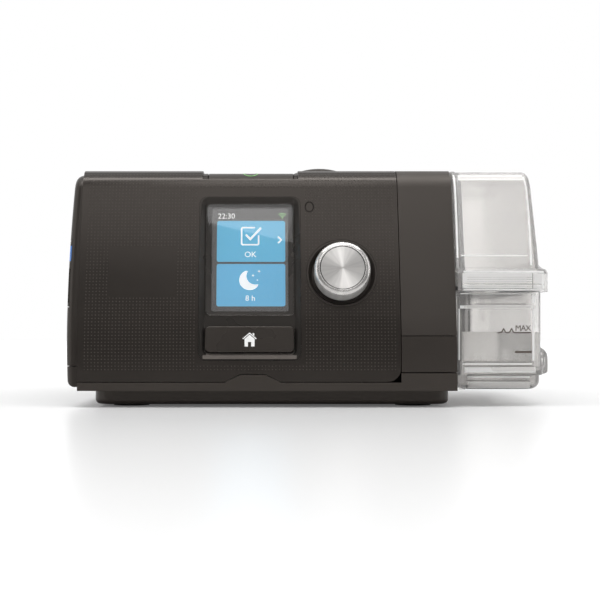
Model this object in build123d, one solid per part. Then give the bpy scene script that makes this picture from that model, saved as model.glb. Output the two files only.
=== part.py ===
from build123d import *
import os
from math import asin, cos, radians, sin, tan

os.makedirs("parts", exist_ok=True)

# A bedside breathing machine with a water tub. Millimetres, +Z up, -Y is the front.
# The origin is under the middle of the whole machine, on the surface it stands on.

# Main body
body_left, body_right = -96.2, 58.8
body_front, body_back, body_top = -75.0, 72.0, 99.6
body_low = 6.8                      # underside of the casing, above the plinth
skin = 2.2                          # moulded wall
seam = 0.3                          # gap between two casings
play = 0.1                          # gap between parts that are fixed together
casing_right = body_right - play
fascia_seam_x = 36.0                # between the dotted panel and the humidifier fascia
panel_low, panel_high = 10.5, 95.2
label_low, label_high = 14.3, 29.2
split_y = -52.4                     # the front panel ends here, on the top round
fascia_back = -18.0                 # the fascia wraps over the top as far as this
wall_split_z = 16.2                 # base casing below, top casing above
bump_left, bump_right, bump_high = -35.7, -13.3, 13.4    # raised middle of the base strip
floor_top = 9.0                     # inside of the base casing

# Front profile: upright, then two arcs, then the top round; tilts in degrees
upright_z = 15.0
low_arc_r, low_tilt = 100.0, 13.0
mid_arc_r, mid_tilt = 648.0, 18.0
back_round = 12.0

# Left cover
cover_left = -101.8
cover_inset = 2.0
cover_seam_z = 16.8
cover_round = 3.3

# Screen group, in the tilted plane of the panel
screen_x, screen_z = -25.8, 53.7
frame_w, frame_h = 41.9, 70.0
recess_depth = 2.7
floor_w, floor_low, floor_high = 37.0, -32.2, 33.3
glass_w, glass_low, glass_high = 36.4, -16.1, 32.6
home_w, home_low, home_high = 36.4, -31.7, -20.8

# Dial
dial_x, dial_z = 12.1, 55.1
dial_r, dial_face = 11.5, 7.5
well_r, well_depth = 14.4, 2.8

# Start button, sunk in the front of the top
start_left, start_right = -43.4, -7.6
start_front, start_back = -55.2, -34.0
start_sink, start_gap = 1.1, 0.4
recess_left, recess_right = -45.9, -4.9
slope_length = 2.8                  # the recess ends in a slope at its right
sensor_x, sensor_z = -1.0, 83.1
sensor_w, sensor_h = 1.65, 2.05     # half sizes of the hole over the light sensor

# Humidifier bay and tub
bay_left, bay_half, bay_ceiling, bay_wall = -3.0, 53.0, 62.0, 1.6
heater_x0, heater_x1, heater_half, heater_top = 5.5, 54.5, 38.5, 12.0
port_y, port_half, port_low, port_high = 25.0, 11.0, 46.5, 56.5    # two air ports, left and right
tub_left, tub_half = 1.0, 50.0
tub_seat = 59.6                     # the tub's outer part starts here
tub_right, tub_front, tub_back = 95.7, -68.0, 62.0
tub_low, tub_top = 7.0, 47.3
tub_wall = 2.2
inner_low = 13.5
tray_in, tray_side_in = 1.2, 0.2     # the tray under the ledge stands back this far
ledge_out, pocket_depth = 0.9, 0.9
ledge_low, ledge_high = 12.9, 16.4
grip_right = 101.8
lip_low, lip_high = 47.6, 57.2
lip_right, lip_front, lip_back = 98.8, -71.0, 64.0
dome_inset, dome_left, dome_right, dome_back = 0.5, 61.2, 94.4, 58.0
dome_lean, dome_mid_z = 3.1, 77.0    # the right side leans in; dome_right holds at this height
hinge_y, hinge_z, hinge_r, hinge_pin_r = 67.5, 50.0, 3.2, 1.5

# Air outlet, at the back of the top
outlet_x, outlet_z = 7.0, 96.5
outlet_r, outlet_bore_r = 11.0, 9.0
hood_front, hood_back = 32.0, 54.0
hood_half, hood_top, hood_root_half = 20.2, 111.2, 16.0
port_end = 78.3
trough_r = 15.0                      # room for a hose cuff around the port

# Blower
blower_x, blower_y, blower_r = -50.0, 8.0, 33.0
blower_low, blower_split, blower_high = 22.0, 36.0, 50.0
blower_wall, blower_inlet_r, shaft_r = 2.0, 12.0, 1.5
duct = (-14.0, -3.2, -24.5, -7.0, 25.0, 47.0)            # flow sensor, x, y and z limits
muffler = (-90.0, -12.0, -32.0, 60.0, 54.0, 88.0)
foam = (-88.0, -14.0, -30.0, 50.0, 74.0, 86.0)

# Back doors, as x and z limits, and what is behind them
filter_door = (-88.0, -48.0, 30.0, 84.0)
accessory_door = (-20.0, 8.0, 22.0, 44.0)
door_barrel_r, door_pin_r = 1.1, 0.6
power_x, power_half, power_low, power_high = -34.0, 8.0, 18.0, 32.0
clip_width, clip_z = 15.8, 34.6

# Memory card
card_box = (-97.6, -66.6, -51.0, -48.9, 42.0, 66.0)
slot_box = (-94.0, -64.0, -53.5, -46.0, 39.5, 68.5)


# ---------------------------------------------------------------- helpers
def block(x0, x1, y0, y1, z0, z1):
    return Pos((x0 + x1) / 2, (y0 + y1) / 2, (z0 + z1) / 2) * Box(x1 - x0, y1 - y0, z1 - z0)


def plate(x0, x1, y0, y1, z0, z1, radius):
    outline = Pos((x0 + x1) / 2, (y0 + y1) / 2) * RectangleRounded(x1 - x0, y1 - y0, radius)
    return extrude(Plane.XY.offset(z0) * outline, amount=z1 - z0)


def rod(start, direction, radius, length):
    return extrude(Plane(origin=start, z_dir=direction) * Circle(radius), amount=length)


def shrunk(limits, wall):
    x0, x1, y0, y1, z0, z1 = limits
    return x0 + wall, x1 - wall, y0 + wall, y1 - wall, z0 + wall, z1 - wall


def pipe(start, direction, outer, inner, length):
    section = Circle(outer) - Circle(inner)
    return extrude(Plane(origin=start, z_dir=direction) * section, amount=length)


def save(name, shape):
    export_step(shape, "parts/" + name + ".step")


def save_group(name, solids):
    save(name, Compound(children=solids))


# ---------------------------------------------------------------- the body's side outline
def tilt_point(centre, radius, tilt, inset):
    angle = radians(tilt)
    reach = radius - inset
    return centre[0] - reach * cos(angle), centre[1] + reach * sin(angle)


def next_centre(centre, radius, tilt, new_radius):
    # the next arc leaves this one at this tilt, so both centres lie on one line
    y, z = tilt_point(centre, radius, tilt, 0)
    return y + new_radius * cos(radians(tilt)), z - new_radius * sin(radians(tilt))


low_centre = (body_front + low_arc_r, upright_z)
mid_centre = next_centre(low_centre, low_arc_r, low_tilt, mid_arc_r)
top_start_z = tilt_point(mid_centre, mid_arc_r, mid_tilt, 0)[1]
top_arc_r = (body_top - top_start_z) / (1 - sin(radians(mid_tilt)))
top_centre = next_centre(mid_centre, mid_arc_r, mid_tilt, top_arc_r)
profile_arcs = [
    (low_centre, low_arc_r, 0.0, low_tilt),
    (mid_centre, mid_arc_r, low_tilt, mid_tilt),
    (top_centre, top_arc_r, mid_tilt, 90.0),
]


def side_face(inset, z_low):
    edges = [Line((body_front + inset, z_low), (body_front + inset, upright_z))]
    for centre, radius, tilt_a, tilt_b in profile_arcs:
        tilts = (tilt_a, (tilt_a + tilt_b) / 2, tilt_b)
        edges.append(ThreePointArc(*[tilt_point(centre, radius, t, inset) for t in tilts]))
    back, top = body_back - inset, body_top - inset
    round_y, round_z = body_back - back_round, body_top - back_round
    half = (back_round - inset) * sin(radians(45))
    edges.append(Line((top_centre[0], top), (round_y, top)))
    edges.append(ThreePointArc((round_y, top), (round_y + half, round_z + half), (back, round_z)))
    edges.append(Line((back, round_z), (back, z_low)))
    edges.append(Line((back, z_low), (body_front + inset, z_low)))
    return make_face(Curve() + edges)


def side_solid(inset, x0, x1, z_low=body_low):
    return extrude(Plane.YZ.offset(x0) * side_face(inset, z_low), amount=x1 - x0)


def side_skin(inset, thickness, x0, x1):
    # a strip of the body's surface, open at the bottom
    inner = side_solid(inset + thickness, x0 - 1, x1 + 1, body_low - 1)
    return side_solid(inset, x0, x1) - inner


def panel_plane(x, z):
    # a plane that touches the middle arc of the front at this height, facing outwards
    tilt = asin((z - mid_centre[1]) / mid_arc_r)
    y = mid_centre[0] - mid_arc_r * cos(tilt)
    return Plane(origin=(x, y, z), x_dir=(1, 0, 0), z_dir=(0, -cos(tilt), sin(tilt)))


def raised(plane, sketch, low, high, taper=0):
    return extrude(plane.offset(low) * sketch, amount=high - low, taper=taper)


def span_rect(width, low, high, radius):
    return Pos(0, (low + high) / 2) * RectangleRounded(width, high - low, radius)


screen_plane = panel_plane(screen_x, screen_z)
dial_plane = panel_plane(dial_x, dial_z)
sensor_plane = panel_plane(sensor_x, sensor_z)
big = 200.0                          # longer than the machine, for cutting boxes


# ---------------------------------------------------------------- casings
def seam_bump(grow):
    # the raised middle of the base strip, under the screen
    slope = 6.3
    left, right = bump_left - grow, bump_right + grow
    low, high = body_low - 1, bump_high + grow
    points = [(left, low), (left, panel_low), (bump_left + slope, high),
              (bump_right - slope, high), (right, panel_low), (right, low)]
    face = make_face(Polyline(*points, close=True))
    return extrude(Plane.XZ.offset(60) * face, amount=20)


screw_places = [(-60, -58), (-8, -58), (24, -58), (-60, 56), (-8, 57), (24, 57)]
screw_r, screw_head_r = 1.4, 2.6
boss_r, boss_top = 3.2, 14.0
plinth_low, plinth_roof = 0.9, 4.6


def case_screws():
    screws = []
    for x, y in screw_places:
        screw = rod((x, y, plinth_roof - 1.4), (0, 0, 1), screw_head_r, 1.4)
        screw += rod((x, y, plinth_roof - 0.1), (0, 0, 1), screw_r, 8.6)
        cross = block(x - 1.6, x + 1.6, y - 0.3, y + 0.3, 3, 3.9)
        cross += block(x - 0.3, x + 0.3, y - 1.6, y + 1.6, 3, 3.9)
        screws.append(screw - cross)
    return screws


def base_casing():
    strip = side_skin(0, skin, body_left + 0.2, body_right)
    low_strip = strip & block(-big, fascia_seam_x, -80, -60, body_low, panel_low - seam)
    sill = strip & block(fascia_seam_x, big, -80, -60, body_low, label_low - seam)
    bump = strip & seam_bump(0)
    floor = block(body_left + 0.2, body_right, body_front + 1, body_back - 0.5, body_low, floor_top)
    back = strip & block(-big, big, 60, 80, body_low, wall_split_z - seam)
    left = block(body_left + 0.2, -94, -72.5, body_back - 1, body_low, wall_split_z - seam)
    plinth = plate(-90.4, 57.1, -67, 64, plinth_low, body_low, 8)
    plinth = fillet(plinth.edges().group_by(Axis.Z)[0], 2.0)
    plinth -= plate(-87.4, 54.1, -64, 61, plinth_low - 0.1, plinth_roof, 5)
    for x, y in foot_places:
        plinth += rod((x, y, foot_high), (0, 0, 1), foot_r + 1, 3.2)
    shape = floor + low_strip + sill + bump + back + left + plinth
    for y0, y1 in ((-72.5, bay_wall - bay_half), (bay_half - bay_wall, body_back - 1)):
        shape += block(casing_right - skin, casing_right, y0, y1, body_low, wall_split_z - seam)
    root = floor_top - 0.1
    for x, y in screw_places:
        shape += rod((x, y, root), (0, 0, 1), boss_r, boss_top - root)
    for x in (muffler[0] + 3, muffler[1] - 3):
        for y in (muffler[2] + 3, muffler[3] - 3):
            shape += rod((x, y, root), (0, 0, 1), 3.0, muffler[4] - root)
    for x, y in screw_places:
        shape -= rod((x, y, 0), (0, 0, 1), screw_r, 15)
    return shape


foot_places = [(-76, -53), (-76, 50), (43, -53), (43, 50)]
foot_r, foot_high = 7.5, 1.5


def rubber_feet():
    return [rod((x, y, 0), (0, 0, 1), foot_r, foot_high) for x, y in foot_places]


def on_recess_floor(edge):
    middle = edge @ 0.5
    if middle.Y > top_centre[0]:
        return abs(middle.Z - body_top + start_sink) < 0.01
    reach = ((middle.Y - top_centre[0]) ** 2 + (middle.Z - top_centre[1]) ** 2) ** 0.5
    return abs(reach - top_arc_r + start_sink) < 0.01


def start_recess():
    # the hollow for the start key and the hole under it
    hollow = side_solid(-2, recess_left, recess_right) - side_solid(start_sink, -50, 0)
    hollow &= block(-big, big, start_front - start_gap, start_back + 2, 80, 110)
    ends = hollow.edges().filter_by(lambda e: (e @ 0.5).X > recess_right - 0.01 and on_recess_floor(e))
    hollow = chamfer(ends, start_sink - 0.05, slope_length)
    return hollow + block(start_left - start_gap, start_right + start_gap,
                          start_front - start_gap, start_back + start_gap, 85, 105)


def top_casing():
    def behind(y):
        return block(-big, big, y, big, wall_split_z, big)

    top = side_skin(0, skin, body_left, casing_right) & behind(split_y + seam / 2)
    top -= block(fascia_seam_x - seam, big, -big, fascia_back, 0, big)
    left = side_solid(0, body_left, body_left + skin) & behind(split_y + 0.2)
    left += side_solid(skin, body_left, body_left + skin) & behind(-big)
    right = side_solid(0, casing_right - skin, casing_right) & behind(fascia_back)
    right += side_solid(skin, casing_right - skin, casing_right) & behind(-big)
    right -= block(50, 62, bay_wall - bay_half, bay_half - bay_wall, 0, bay_ceiling - bay_wall)
    shape = top + left + right
    shape -= start_recess()
    # way in for the outlet hood's root, for the back doors and for the sockets
    root = hood_root_half + 0.2
    shape -= block(outlet_x - root, outlet_x + root, hood_front - 0.2, hood_back + 0.2, 90, 110)
    shape -= rod((outlet_x, hood_back - 1.2, outlet_z), (0, 1, 0), trough_r + 1.8, 30)
    for x0, x1, z0, z1 in (filter_door, accessory_door):
        shape -= block(x0 - seam, x1 + seam, body_back - 3, body_back + 1, z0 - seam, z1 + seam)
        shape -= hinge_room(rear_hinge(x0, z0, z1), z1 - z0)
    reach = power_half + 0.2
    shape -= block(power_x - reach, power_x + reach, body_back - 3, body_back + 1,
                   power_low - 0.2, clip_z + 2.2)
    shape -= block(-97, -93, slot_box[2] - 0.5, slot_box[3] + 0.5, slot_box[4] - 0.5, slot_box[5] + 0.5)
    return shape - hinge_room(clip_hinge, clip_width)


# ---------------------------------------------------------------- small doors
# A door's plane: x runs from the hinge to the free edge, y along the pin, z outwards.
def rear_hinge(x0, z0, z1):
    origin = (x0 + door_barrel_r, body_back - door_barrel_r, (z0 + z1) / 2)
    return Plane(origin=origin, x_dir=(1, 0, 0), z_dir=(0, 1, 0))


def hinge_room(plane, height):
    notch = extrude(plane.offset(-1.5) * Rectangle(2.8, height + 0.6), amount=4)
    along = Plane(origin=plane.origin, z_dir=plane.y_dir)
    return notch + extrude(along.offset(-height / 2 - 1.7) * Circle(door_pin_r + 0.05), amount=height + 3.4)


def hinge_barrel(plane, height):
    along = Plane(origin=plane.origin, z_dir=plane.y_dir)
    barrel = extrude(along.offset(-height / 2) * Circle(door_barrel_r), amount=height)
    return barrel + extrude(along.offset(-height / 2 - 1.4) * Circle(door_pin_r), amount=height + 2.8)


clip_hinge = Plane(origin=(power_x, body_back - door_barrel_r, clip_z), x_dir=(0, 0, -1), z_dir=(0, 1, 0))


def rear_door(x0, x1, z0, z1):
    plane = rear_hinge(x0, z0, z1)
    height = z1 - z0
    width = x1 - x0 - door_barrel_r
    leaf_start = 1.3
    leaf = raised(plane, Pos((leaf_start + width) / 2, 0) * Rectangle(width - leaf_start, height),
                  -door_barrel_r, door_barrel_r)
    web = raised(plane, Pos(1.0, 0) * Rectangle(1.6, height), -0.8, 0.3)
    shape = leaf + web + hinge_barrel(plane, height)
    return shape - raised(plane, Pos(width, 0) * Rectangle(3.0, 14), 0.1, 2)      # finger notch


# ---------------------------------------------------------------- left cover
def cover_barrel(shift):
    # a slightly crowned face: a plan arc turned about an axis along the machine
    crown_y, crown_z, plan_r, rise_r = -5.0, 42.0, 3000.0, 1000.0
    left = cover_left + shift
    reach = 90.0
    drop = plan_r - (plan_r ** 2 - reach ** 2) ** 0.5
    axis_x = left + rise_r
    outline = [
        ThreePointArc((left + drop, crown_y - reach), (left, crown_y), (left + drop, crown_y + reach)),
        Line((left + drop, crown_y + reach), (axis_x - 400, crown_y + reach)),
        Line((axis_x - 400, crown_y + reach), (axis_x - 400, crown_y - reach)),
        Line((axis_x - 400, crown_y - reach), (left + drop, crown_y - reach)),
    ]
    face = Pos(0, 0, crown_z) * make_face(Curve() + outline)
    axis = Axis((axis_x, 0, crown_z), (0, 1, 0))
    return revolve(face.rotate(axis, -6), axis, 12)


def cover_solid():
    block_part = side_solid(cover_inset, cover_left - 2, body_left, 8.3) & cover_barrel(0)
    outer_edges = block_part.edges().filter_by(lambda e: e.center().X < body_left - 2.5
                                               and e.bounding_box().max.X < body_left - 1)
    return fillet(outer_edges, cover_round)


card_low, card_high, card_back = 41.0, 69.0, -33.0
card_edge = 2.9                      # the door's front edge follows the body's outline, this far in
cover_wall = 1.9
card_hinge = Plane(origin=(cover_left + 1.4, card_back - 1.2, (card_low + card_high) / 2),
                   x_dir=(0, -1, 0), z_dir=(-1, 0, 0))


def cover_pieces():
    outer = cover_solid()
    hollow = side_solid(cover_inset + cover_wall, cover_left - 2, body_left + 1, 10.2)
    hollow &= cover_barrel(cover_wall)
    shell = outer - hollow
    upper = shell & block(-110, -90, -90, 90, cover_seam_z + seam / 2, 120)
    lower = shell & block(-110, -90, -90, 90, 0, cover_seam_z - seam / 2)
    opening = block(-110, -96.3, -90, card_back, card_low, card_high) & side_solid(card_edge, -110, -90)
    room = hinge_room(card_hinge, card_high - card_low)
    door_box = block(-110, -96.3, -90, card_back - 2.5, card_low + seam, card_high - seam)
    door_box &= side_solid(card_edge + seam, -110, -90)
    edge_strip = side_solid(card_edge, -110, -90) - side_solid(card_edge + cover_wall, -111, -89, 5)
    web = block(cover_left + 0.6, cover_left + 1.6, card_back - 3.0, card_back - 1.2,
                card_low + seam, card_high - seam)
    door = (shell & door_box) + web + hinge_barrel(card_hinge, card_high - card_low - 2 * seam)
    tab = shell & door_box & edge_strip & block(-110, -90, -90, 0, 60.2, 66.7)
    door = door - tab - (edge_strip & block(-110, -90, -90, 0, 42.8, 57.2))
    # a strip behind the cover holds the ends of the door's pin
    holder = block(cover_left + 0.6, cover_left + 3.1, card_back - 2.6, card_back + 1.5,
                   card_low - 3, card_high + 3)
    upper = upper + (holder - block(-105, -98, card_back - 3, card_back, card_low, card_high))
    upper = upper - opening - room
    return upper, lower, door, tab


# ---------------------------------------------------------------- front panel and fascia
def front_panel():
    shape = side_skin(0, skin, body_left + 0.1, fascia_seam_x - seam / 2)
    shape &= block(-big, big, -90, split_y - seam / 2, panel_low, panel_high + 5)
    corner = 5.5
    cut = block(fascia_seam_x - corner, fascia_seam_x + 1, -90, -60, 0, panel_low + corner)
    cut -= rod((fascia_seam_x - corner - seam / 2, -91, panel_low + corner), (0, 1, 0), corner, 35)
    shape -= cut
    shape -= seam_bump(seam)
    shape -= raised(screen_plane, RectangleRounded(frame_w + 0.2, frame_h + 0.2, 3.4), -8, 6)
    shape -= rod(dial_plane.offset(-6).origin, dial_plane.z_dir, well_r + 0.15, 14)
    shape -= raised(sensor_plane, Ellipse(sensor_w, sensor_h), -5, 5)
    return shape - start_recess()


def humidifier_fascia():
    shape = side_skin(0, skin, fascia_seam_x + seam / 2, body_right - 0.1)
    high = shape & block(-big, big, -90, fascia_back - seam, label_high + seam / 2, 120)
    label = shape & block(-big, big, -90, -60, label_low + seam / 2, label_high - seam / 2)
    return high, label


# ---------------------------------------------------------------- screen group
def screen_group():
    body = side_solid(0, -80, 20)
    bezel = raised(screen_plane, RectangleRounded(frame_w, frame_h, 3.3), -5.6, 6) & body
    floor = Pos(0, (floor_low + floor_high) / 2) * RectangleRounded(floor_w, floor_high - floor_low, 1.6)
    bezel -= raised(screen_plane, floor, -recess_depth, 6, taper=-42)
    bezel -= raised(screen_plane, span_rect(glass_w + 0.1, glass_low, glass_high, 2.0), -4.2, 6)
    bezel -= raised(screen_plane, span_rect(31.8, glass_low + 2.1, glass_high - 1.9, 1.0), -9, 6)
    bezel -= raised(screen_plane, span_rect(home_w + 0.4, home_low - 0.2, home_high + 0.2, 2.2), -9, 6)
    glass = raised(screen_plane, span_rect(glass_w, glass_low + 0.05, glass_high - 0.05, 2.0), -4.2, -2.3)
    outwards = Axis(screen_plane.origin, screen_plane.z_dir)
    glass = fillet(glass.edges().group_by(outwards)[-1], 0.4)
    lcd = raised(screen_plane, span_rect(31.6, glass_low + 2.2, glass_high - 2.0, 0.8), -7.4, -4.25)
    board = raised(screen_plane, span_rect(40, -34, 33.5, 1.5), -9.4, -7.8)
    home = raised(screen_plane, span_rect(home_w, home_low, home_high, 2.0), -5.2, -1.4)
    home = fillet(home.edges().group_by(outwards)[-1], 0.5)
    mid = (home_low + home_high) / 2
    home += raised(screen_plane, Pos(0, mid) * Circle(1.6), -6.4, -5.1)
    switch = raised(screen_plane, Pos(0, mid) * Rectangle(6, 6), -7.8, -7.35)
    return bezel, glass, lcd, board, home, switch


# ---------------------------------------------------------------- dial
def dial_group():
    normal = dial_plane.z_dir

    def disc(low, high, radius):
        return rod(dial_plane.offset(low).origin, normal, radius, high - low)

    well = disc(-4.6, 3, well_r) & side_solid(0, -20, 40)
    well_floor = dial_plane.offset(-well_depth) * Circle(well_r - 2.1)
    well_mouth = dial_plane.offset(1.2) * Circle(well_r + 0.1)
    well = well - loft([well_floor, well_mouth]) - disc(-6, 6, 4.2)
    knob = disc(-1.2, dial_face, dial_r) - disc(-2, dial_face - 1.6, dial_r - 1.4)
    knob = fillet(knob.edges().group_by(Axis(dial_plane.origin, normal))[-1], 1.9)
    knob -= disc(dial_face - 0.35, 10, 9.3) - disc(dial_face - 1, 10, 8.95)
    knob += disc(0.6, dial_face - 1.5, 4.6) - disc(0, dial_face - 2.2, 3.05)
    carrier = disc(-7.0, dial_face - 2.6, 3.0) + disc(-7.0, -5.8, 5.5)
    encoder = disc(-13.6, -8.4, 6.5)
    return well, knob, carrier, encoder


# ---------------------------------------------------------------- start button and sensor
def start_button():
    skin_part = side_solid(start_sink, start_left, start_right) - side_solid(start_sink + 2.0, -50, 0)
    shape = skin_part & block(start_left, start_right, start_front, start_back, 92.4, 105)
    ring_x = (start_left + start_right) / 2
    shape += rod((ring_x, -47, 93.0), (0, 0, 1), 1.8, 4.5)
    return shape


# ---------------------------------------------------------------- humidifier bay
def bay_liner():
    outer = block(bay_left, 56.4, -bay_half, bay_half, floor_top, bay_ceiling)
    inner = block(bay_left + bay_wall, 60, bay_wall - bay_half, bay_half - bay_wall,
                  heater_top - 0.1, bay_ceiling - bay_wall)
    shape = outer - inner
    shape -= block(heater_x0 - 0.5, heater_x1 + 0.5, -heater_half - 0.5, heater_half + 0.5, 0, 20)
    for y in (-port_y, port_y):
        shape -= block(-5, 0, y - port_half, y + port_half, port_low, port_high)
    return shape


def air_seals():
    seals = []
    rim = 1.5
    start = bay_left + bay_wall
    for y in (-port_y, port_y):
        ring = block(start, 0.5, y - port_half - rim, y + port_half + rim, port_low - rim, port_high + rim)
        seals.append(ring - block(-3, 2, y - port_half, y + port_half, port_low, port_high))
    return seals


def heater_block(low, high):
    return plate(heater_x0, heater_x1, -heater_half, heater_half, low, high, 3)


# ---------------------------------------------------------------- tub
def hinge_knuckles(spans, arm_low, arm_high, arm_front):
    shape = None
    for x0, x1 in spans:
        knuckle = rod((x0, hinge_y, hinge_z), (1, 0, 0), hinge_r, x1 - x0)
        knuckle += block(x0, x1, arm_front, hinge_y, arm_low, arm_high)
        shape = knuckle if shape is None else shape + knuckle
    return shape


tub_spans = [(64.0, 70.0), (88.0, 94.0)]
lid_spans = [(70.3, 87.7)]


def sunk_panel(x0, x1, z0, z1):
    origin = ((x0 + x1) / 2, tub_front + pocket_depth, (z0 + z1) / 2)
    middle = Plane(origin=origin, x_dir=(1, 0, 0), z_dir=(0, -1, 0))
    return extrude(middle * RectangleRounded(x1 - x0, z1 - z0, 1.4), amount=3)


def tub_base():
    tray = plate(tub_seat, tub_right - tray_side_in, tub_front + tray_in, tub_back - tray_in,
                 tub_low, ledge_high, 9)
    tray = fillet(tray.edges().group_by(Axis.Z)[0], 4.0)
    outer = plate(tub_seat, tub_right, tub_front, tub_back, ledge_low, tub_top, 9)
    outer += block(tub_seat, 74, tub_front, tub_back, ledge_low, tub_top)
    ledge_front, ledge_back = tub_front - ledge_out, tub_back + ledge_out
    ledge = plate(tub_seat, tub_right + ledge_out, ledge_front, ledge_back, ledge_low, ledge_high, 9.5)
    ledge = fillet(ledge.edges().group_by(Axis.Z)[0] + ledge.edges().group_by(Axis.Z)[-1], 0.6)
    outer += tray + ledge + block(tub_seat, 74, ledge_front, ledge_back, ledge_low, ledge_high)
    inner = plate(tub_left, 74, -tub_half, tub_half, inner_low, tub_top, 6)
    grip = plate(86, grip_right, -52, 46, ledge_low, 24.6, 6.5)
    grip = fillet(grip.edges().group_by(Axis.Z)[-1], 5.0)
    grip = fillet(grip.edges().group_by(Axis.Z)[0], 1.5)
    shape = outer + inner + grip
    shape += block(59.4, 62.8, tub_front - 1.2, tub_front + 2, 7.2, 18.5)      # bracket by the casing
    low_wall = tub_wall + tray_in
    cavity = plate(tub_seat + tub_wall, tub_right - low_wall, tub_front + low_wall, tub_back - low_wall,
                   tub_low + tub_wall, tub_top + 1, 6)
    cavity += plate(tub_seat + tub_wall, tub_right - tub_wall, tub_front + tub_wall, tub_back - tub_wall,
                    ledge_low + 2, tub_top + 1, 7)
    cavity += plate(tub_left + tub_wall, 74, -tub_half + tub_wall, tub_half - tub_wall,
                    inner_low + tub_wall, tub_top + 1, 4)
    shape -= cavity
    shape -= sunk_panel(61.9, 91.3, 18.6, 40.7)                               # window
    shape -= sunk_panel(64.2, 90.8, 42.4, 46.5)
    knuckles = hinge_knuckles(tub_spans, hinge_z - 14, hinge_z, tub_back - 1)
    shape += knuckles - block(50, 100, 50, lip_back + 0.3, tub_top, 60)
    return shape - rod((60, hinge_y, hinge_z), (1, 0, 0), hinge_pin_r, 40)


def tub_deck():
    lid = plate(tub_left, 58.4, -tub_half, tub_half, tub_top, tub_top + 2.2, 5)
    lid -= plate(40, 57, -36, 36, 40, 60, 4)                                   # air passes down here
    shape = lid + block(tub_left, 38, -40, 40, tub_top, 59.0)
    for y in (-port_y, port_y):
        shape -= block(-5, 4, y - port_half + 1, y + port_half - 1, port_low + 1.3, port_high - 0.5)
    return shape - block(3, 36, -38, 38, 40, 57)


def lid_dome_solid(inset, x0, crown_x, z_low):
    # the same outline as the body, with a crowned right side that leans in
    crown_r, reach = 1500.0, 84.0
    crown_x += dome_mid_z * tan(radians(dome_lean))
    edge_x = crown_x - crown_r + (crown_r ** 2 - reach ** 2) ** 0.5
    outline = [ThreePointArc((edge_x, -reach), (crown_x, 0), (edge_x, reach)),
               Line((edge_x, reach), (0, reach)), Line((0, reach), (0, -reach)),
               Line((0, -reach), (edge_x, -reach))]
    plan = extrude(make_face(Curve() + outline), amount=120, taper=dome_lean)
    back = dome_back - (inset - dome_inset)
    return side_solid(inset, x0, crown_x) & plan & block(0, big, -big, back, z_low, 120)


def span_plan(x0, x1, y0, y1, radius):
    return Pos((x0 + x1) / 2, (y0 + y1) / 2) * RectangleRounded(x1 - x0, y1 - y0, radius)


def tub_lid():
    lip = plate(tub_seat, lip_right, lip_front, lip_back, lip_low, lip_high, 13)
    lip = fillet(lip.edges().group_by(Axis.Z)[-1], 2.0)
    lip += block(tub_seat, 75, lip_front, lip_back, lip_low, lip_high)
    dome = lid_dome_solid(dome_inset, dome_left, dome_right, lip_high - 3)
    dome_edges = dome.edges().filter_by(lambda e: e.center().X > dome_left + 1 and e.center().Z > 58
                                        and not (e.geom_type == GeomType.LINE and e.center().Y < 0))
    dome = fillet(dome_edges, 3.0)
    rim = side_solid(dome_inset - 0.35, tub_seat, dome_left)
    rim &= block(0, big, -big, dome_back + 1.3, lip_high - 3, 120)
    foot = Plane.XY.offset(lip_high - 0.6) * span_plan(74, lip_right - 0.3, -62, 52, 8)
    shape = lip + dome + rim + extrude(foot, amount=4.6, taper=45)
    shape -= lid_dome_solid(dome_inset + 2, dome_left + 2, dome_right - 2, lip_low - 5)
    shape -= plate(tub_seat + 2, lip_right - 2, lip_front + 2, lip_back - 2, lip_low - 1, lip_high - 2.2, 11)
    shape -= block(tub_seat + 2, 75, lip_front + 2, lip_back - 2, lip_low - 1, lip_high - 2.2)
    shape += hinge_knuckles(lid_spans, hinge_z - 1.6, hinge_z + 3.0, lip_back - 1.5)
    return shape - rod((60, hinge_y, hinge_z), (1, 0, 0), hinge_pin_r + 0.06, 40)


def lid_seal():
    outer = plate(tub_seat + 2.2, tub_right - 0.2, tub_front + 0.2, tub_back - 0.2,
                  lip_low, lip_low + 2.4, 9)
    return outer - plate(tub_seat + 5, tub_right - 3, tub_front + 3, tub_back - 3, 40, 60, 5)


# ---------------------------------------------------------------- outlet
def outlet_hood():
    sunk = 0.4
    arch = Pos(outlet_x, body_top - sunk) * Ellipse(hood_half, hood_top - body_top + sunk)
    hump = extrude(Plane.XZ.offset(-hood_back) * arch, amount=hood_back - hood_front)
    hump &= block(-big, big, 0, 100, body_top + 0.02, 130)
    front_edges = hump.edges().filter_by(lambda e: e.center().Y < hood_front + 0.1
                                         and e.center().Z > body_top + 1)
    hump = fillet(front_edges, 5.0)
    root = block(outlet_x - hood_root_half, outlet_x + hood_root_half, hood_front, hood_back,
                 82, body_top + 0.1)
    trough = rod((outlet_x, hood_back - 1, outlet_z), (0, 1, 0), trough_r + 1.6, 70.8 - hood_back)
    shape = hump + root + (trough & block(-big, big, 0, big, 0, body_top))
    shape -= rod((outlet_x, hood_back, outlet_z), (0, 1, 0), trough_r, 40)
    shape -= rod((outlet_x, hood_front + 2, outlet_z), (0, 1, 0), outlet_bore_r, 40)
    shape -= rod((outlet_x, hood_back - 8, outlet_z), (0, 1, 0), outlet_r + 0.05, 20)
    shape -= rod((outlet_x, hood_front + 11, 80), (0, 0, 1), outlet_bore_r, outlet_z - 80)
    return shape


def outlet_port():
    start = hood_back - 7.6
    shape = pipe((outlet_x, start, outlet_z), (0, 1, 0), outlet_r, outlet_bore_r, port_end - start)
    collar = pipe((outlet_x, hood_back + 0.3, outlet_z), (0, 1, 0), outlet_r + 1.0, outlet_r - 0.5, 1.2)
    return shape + collar


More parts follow.
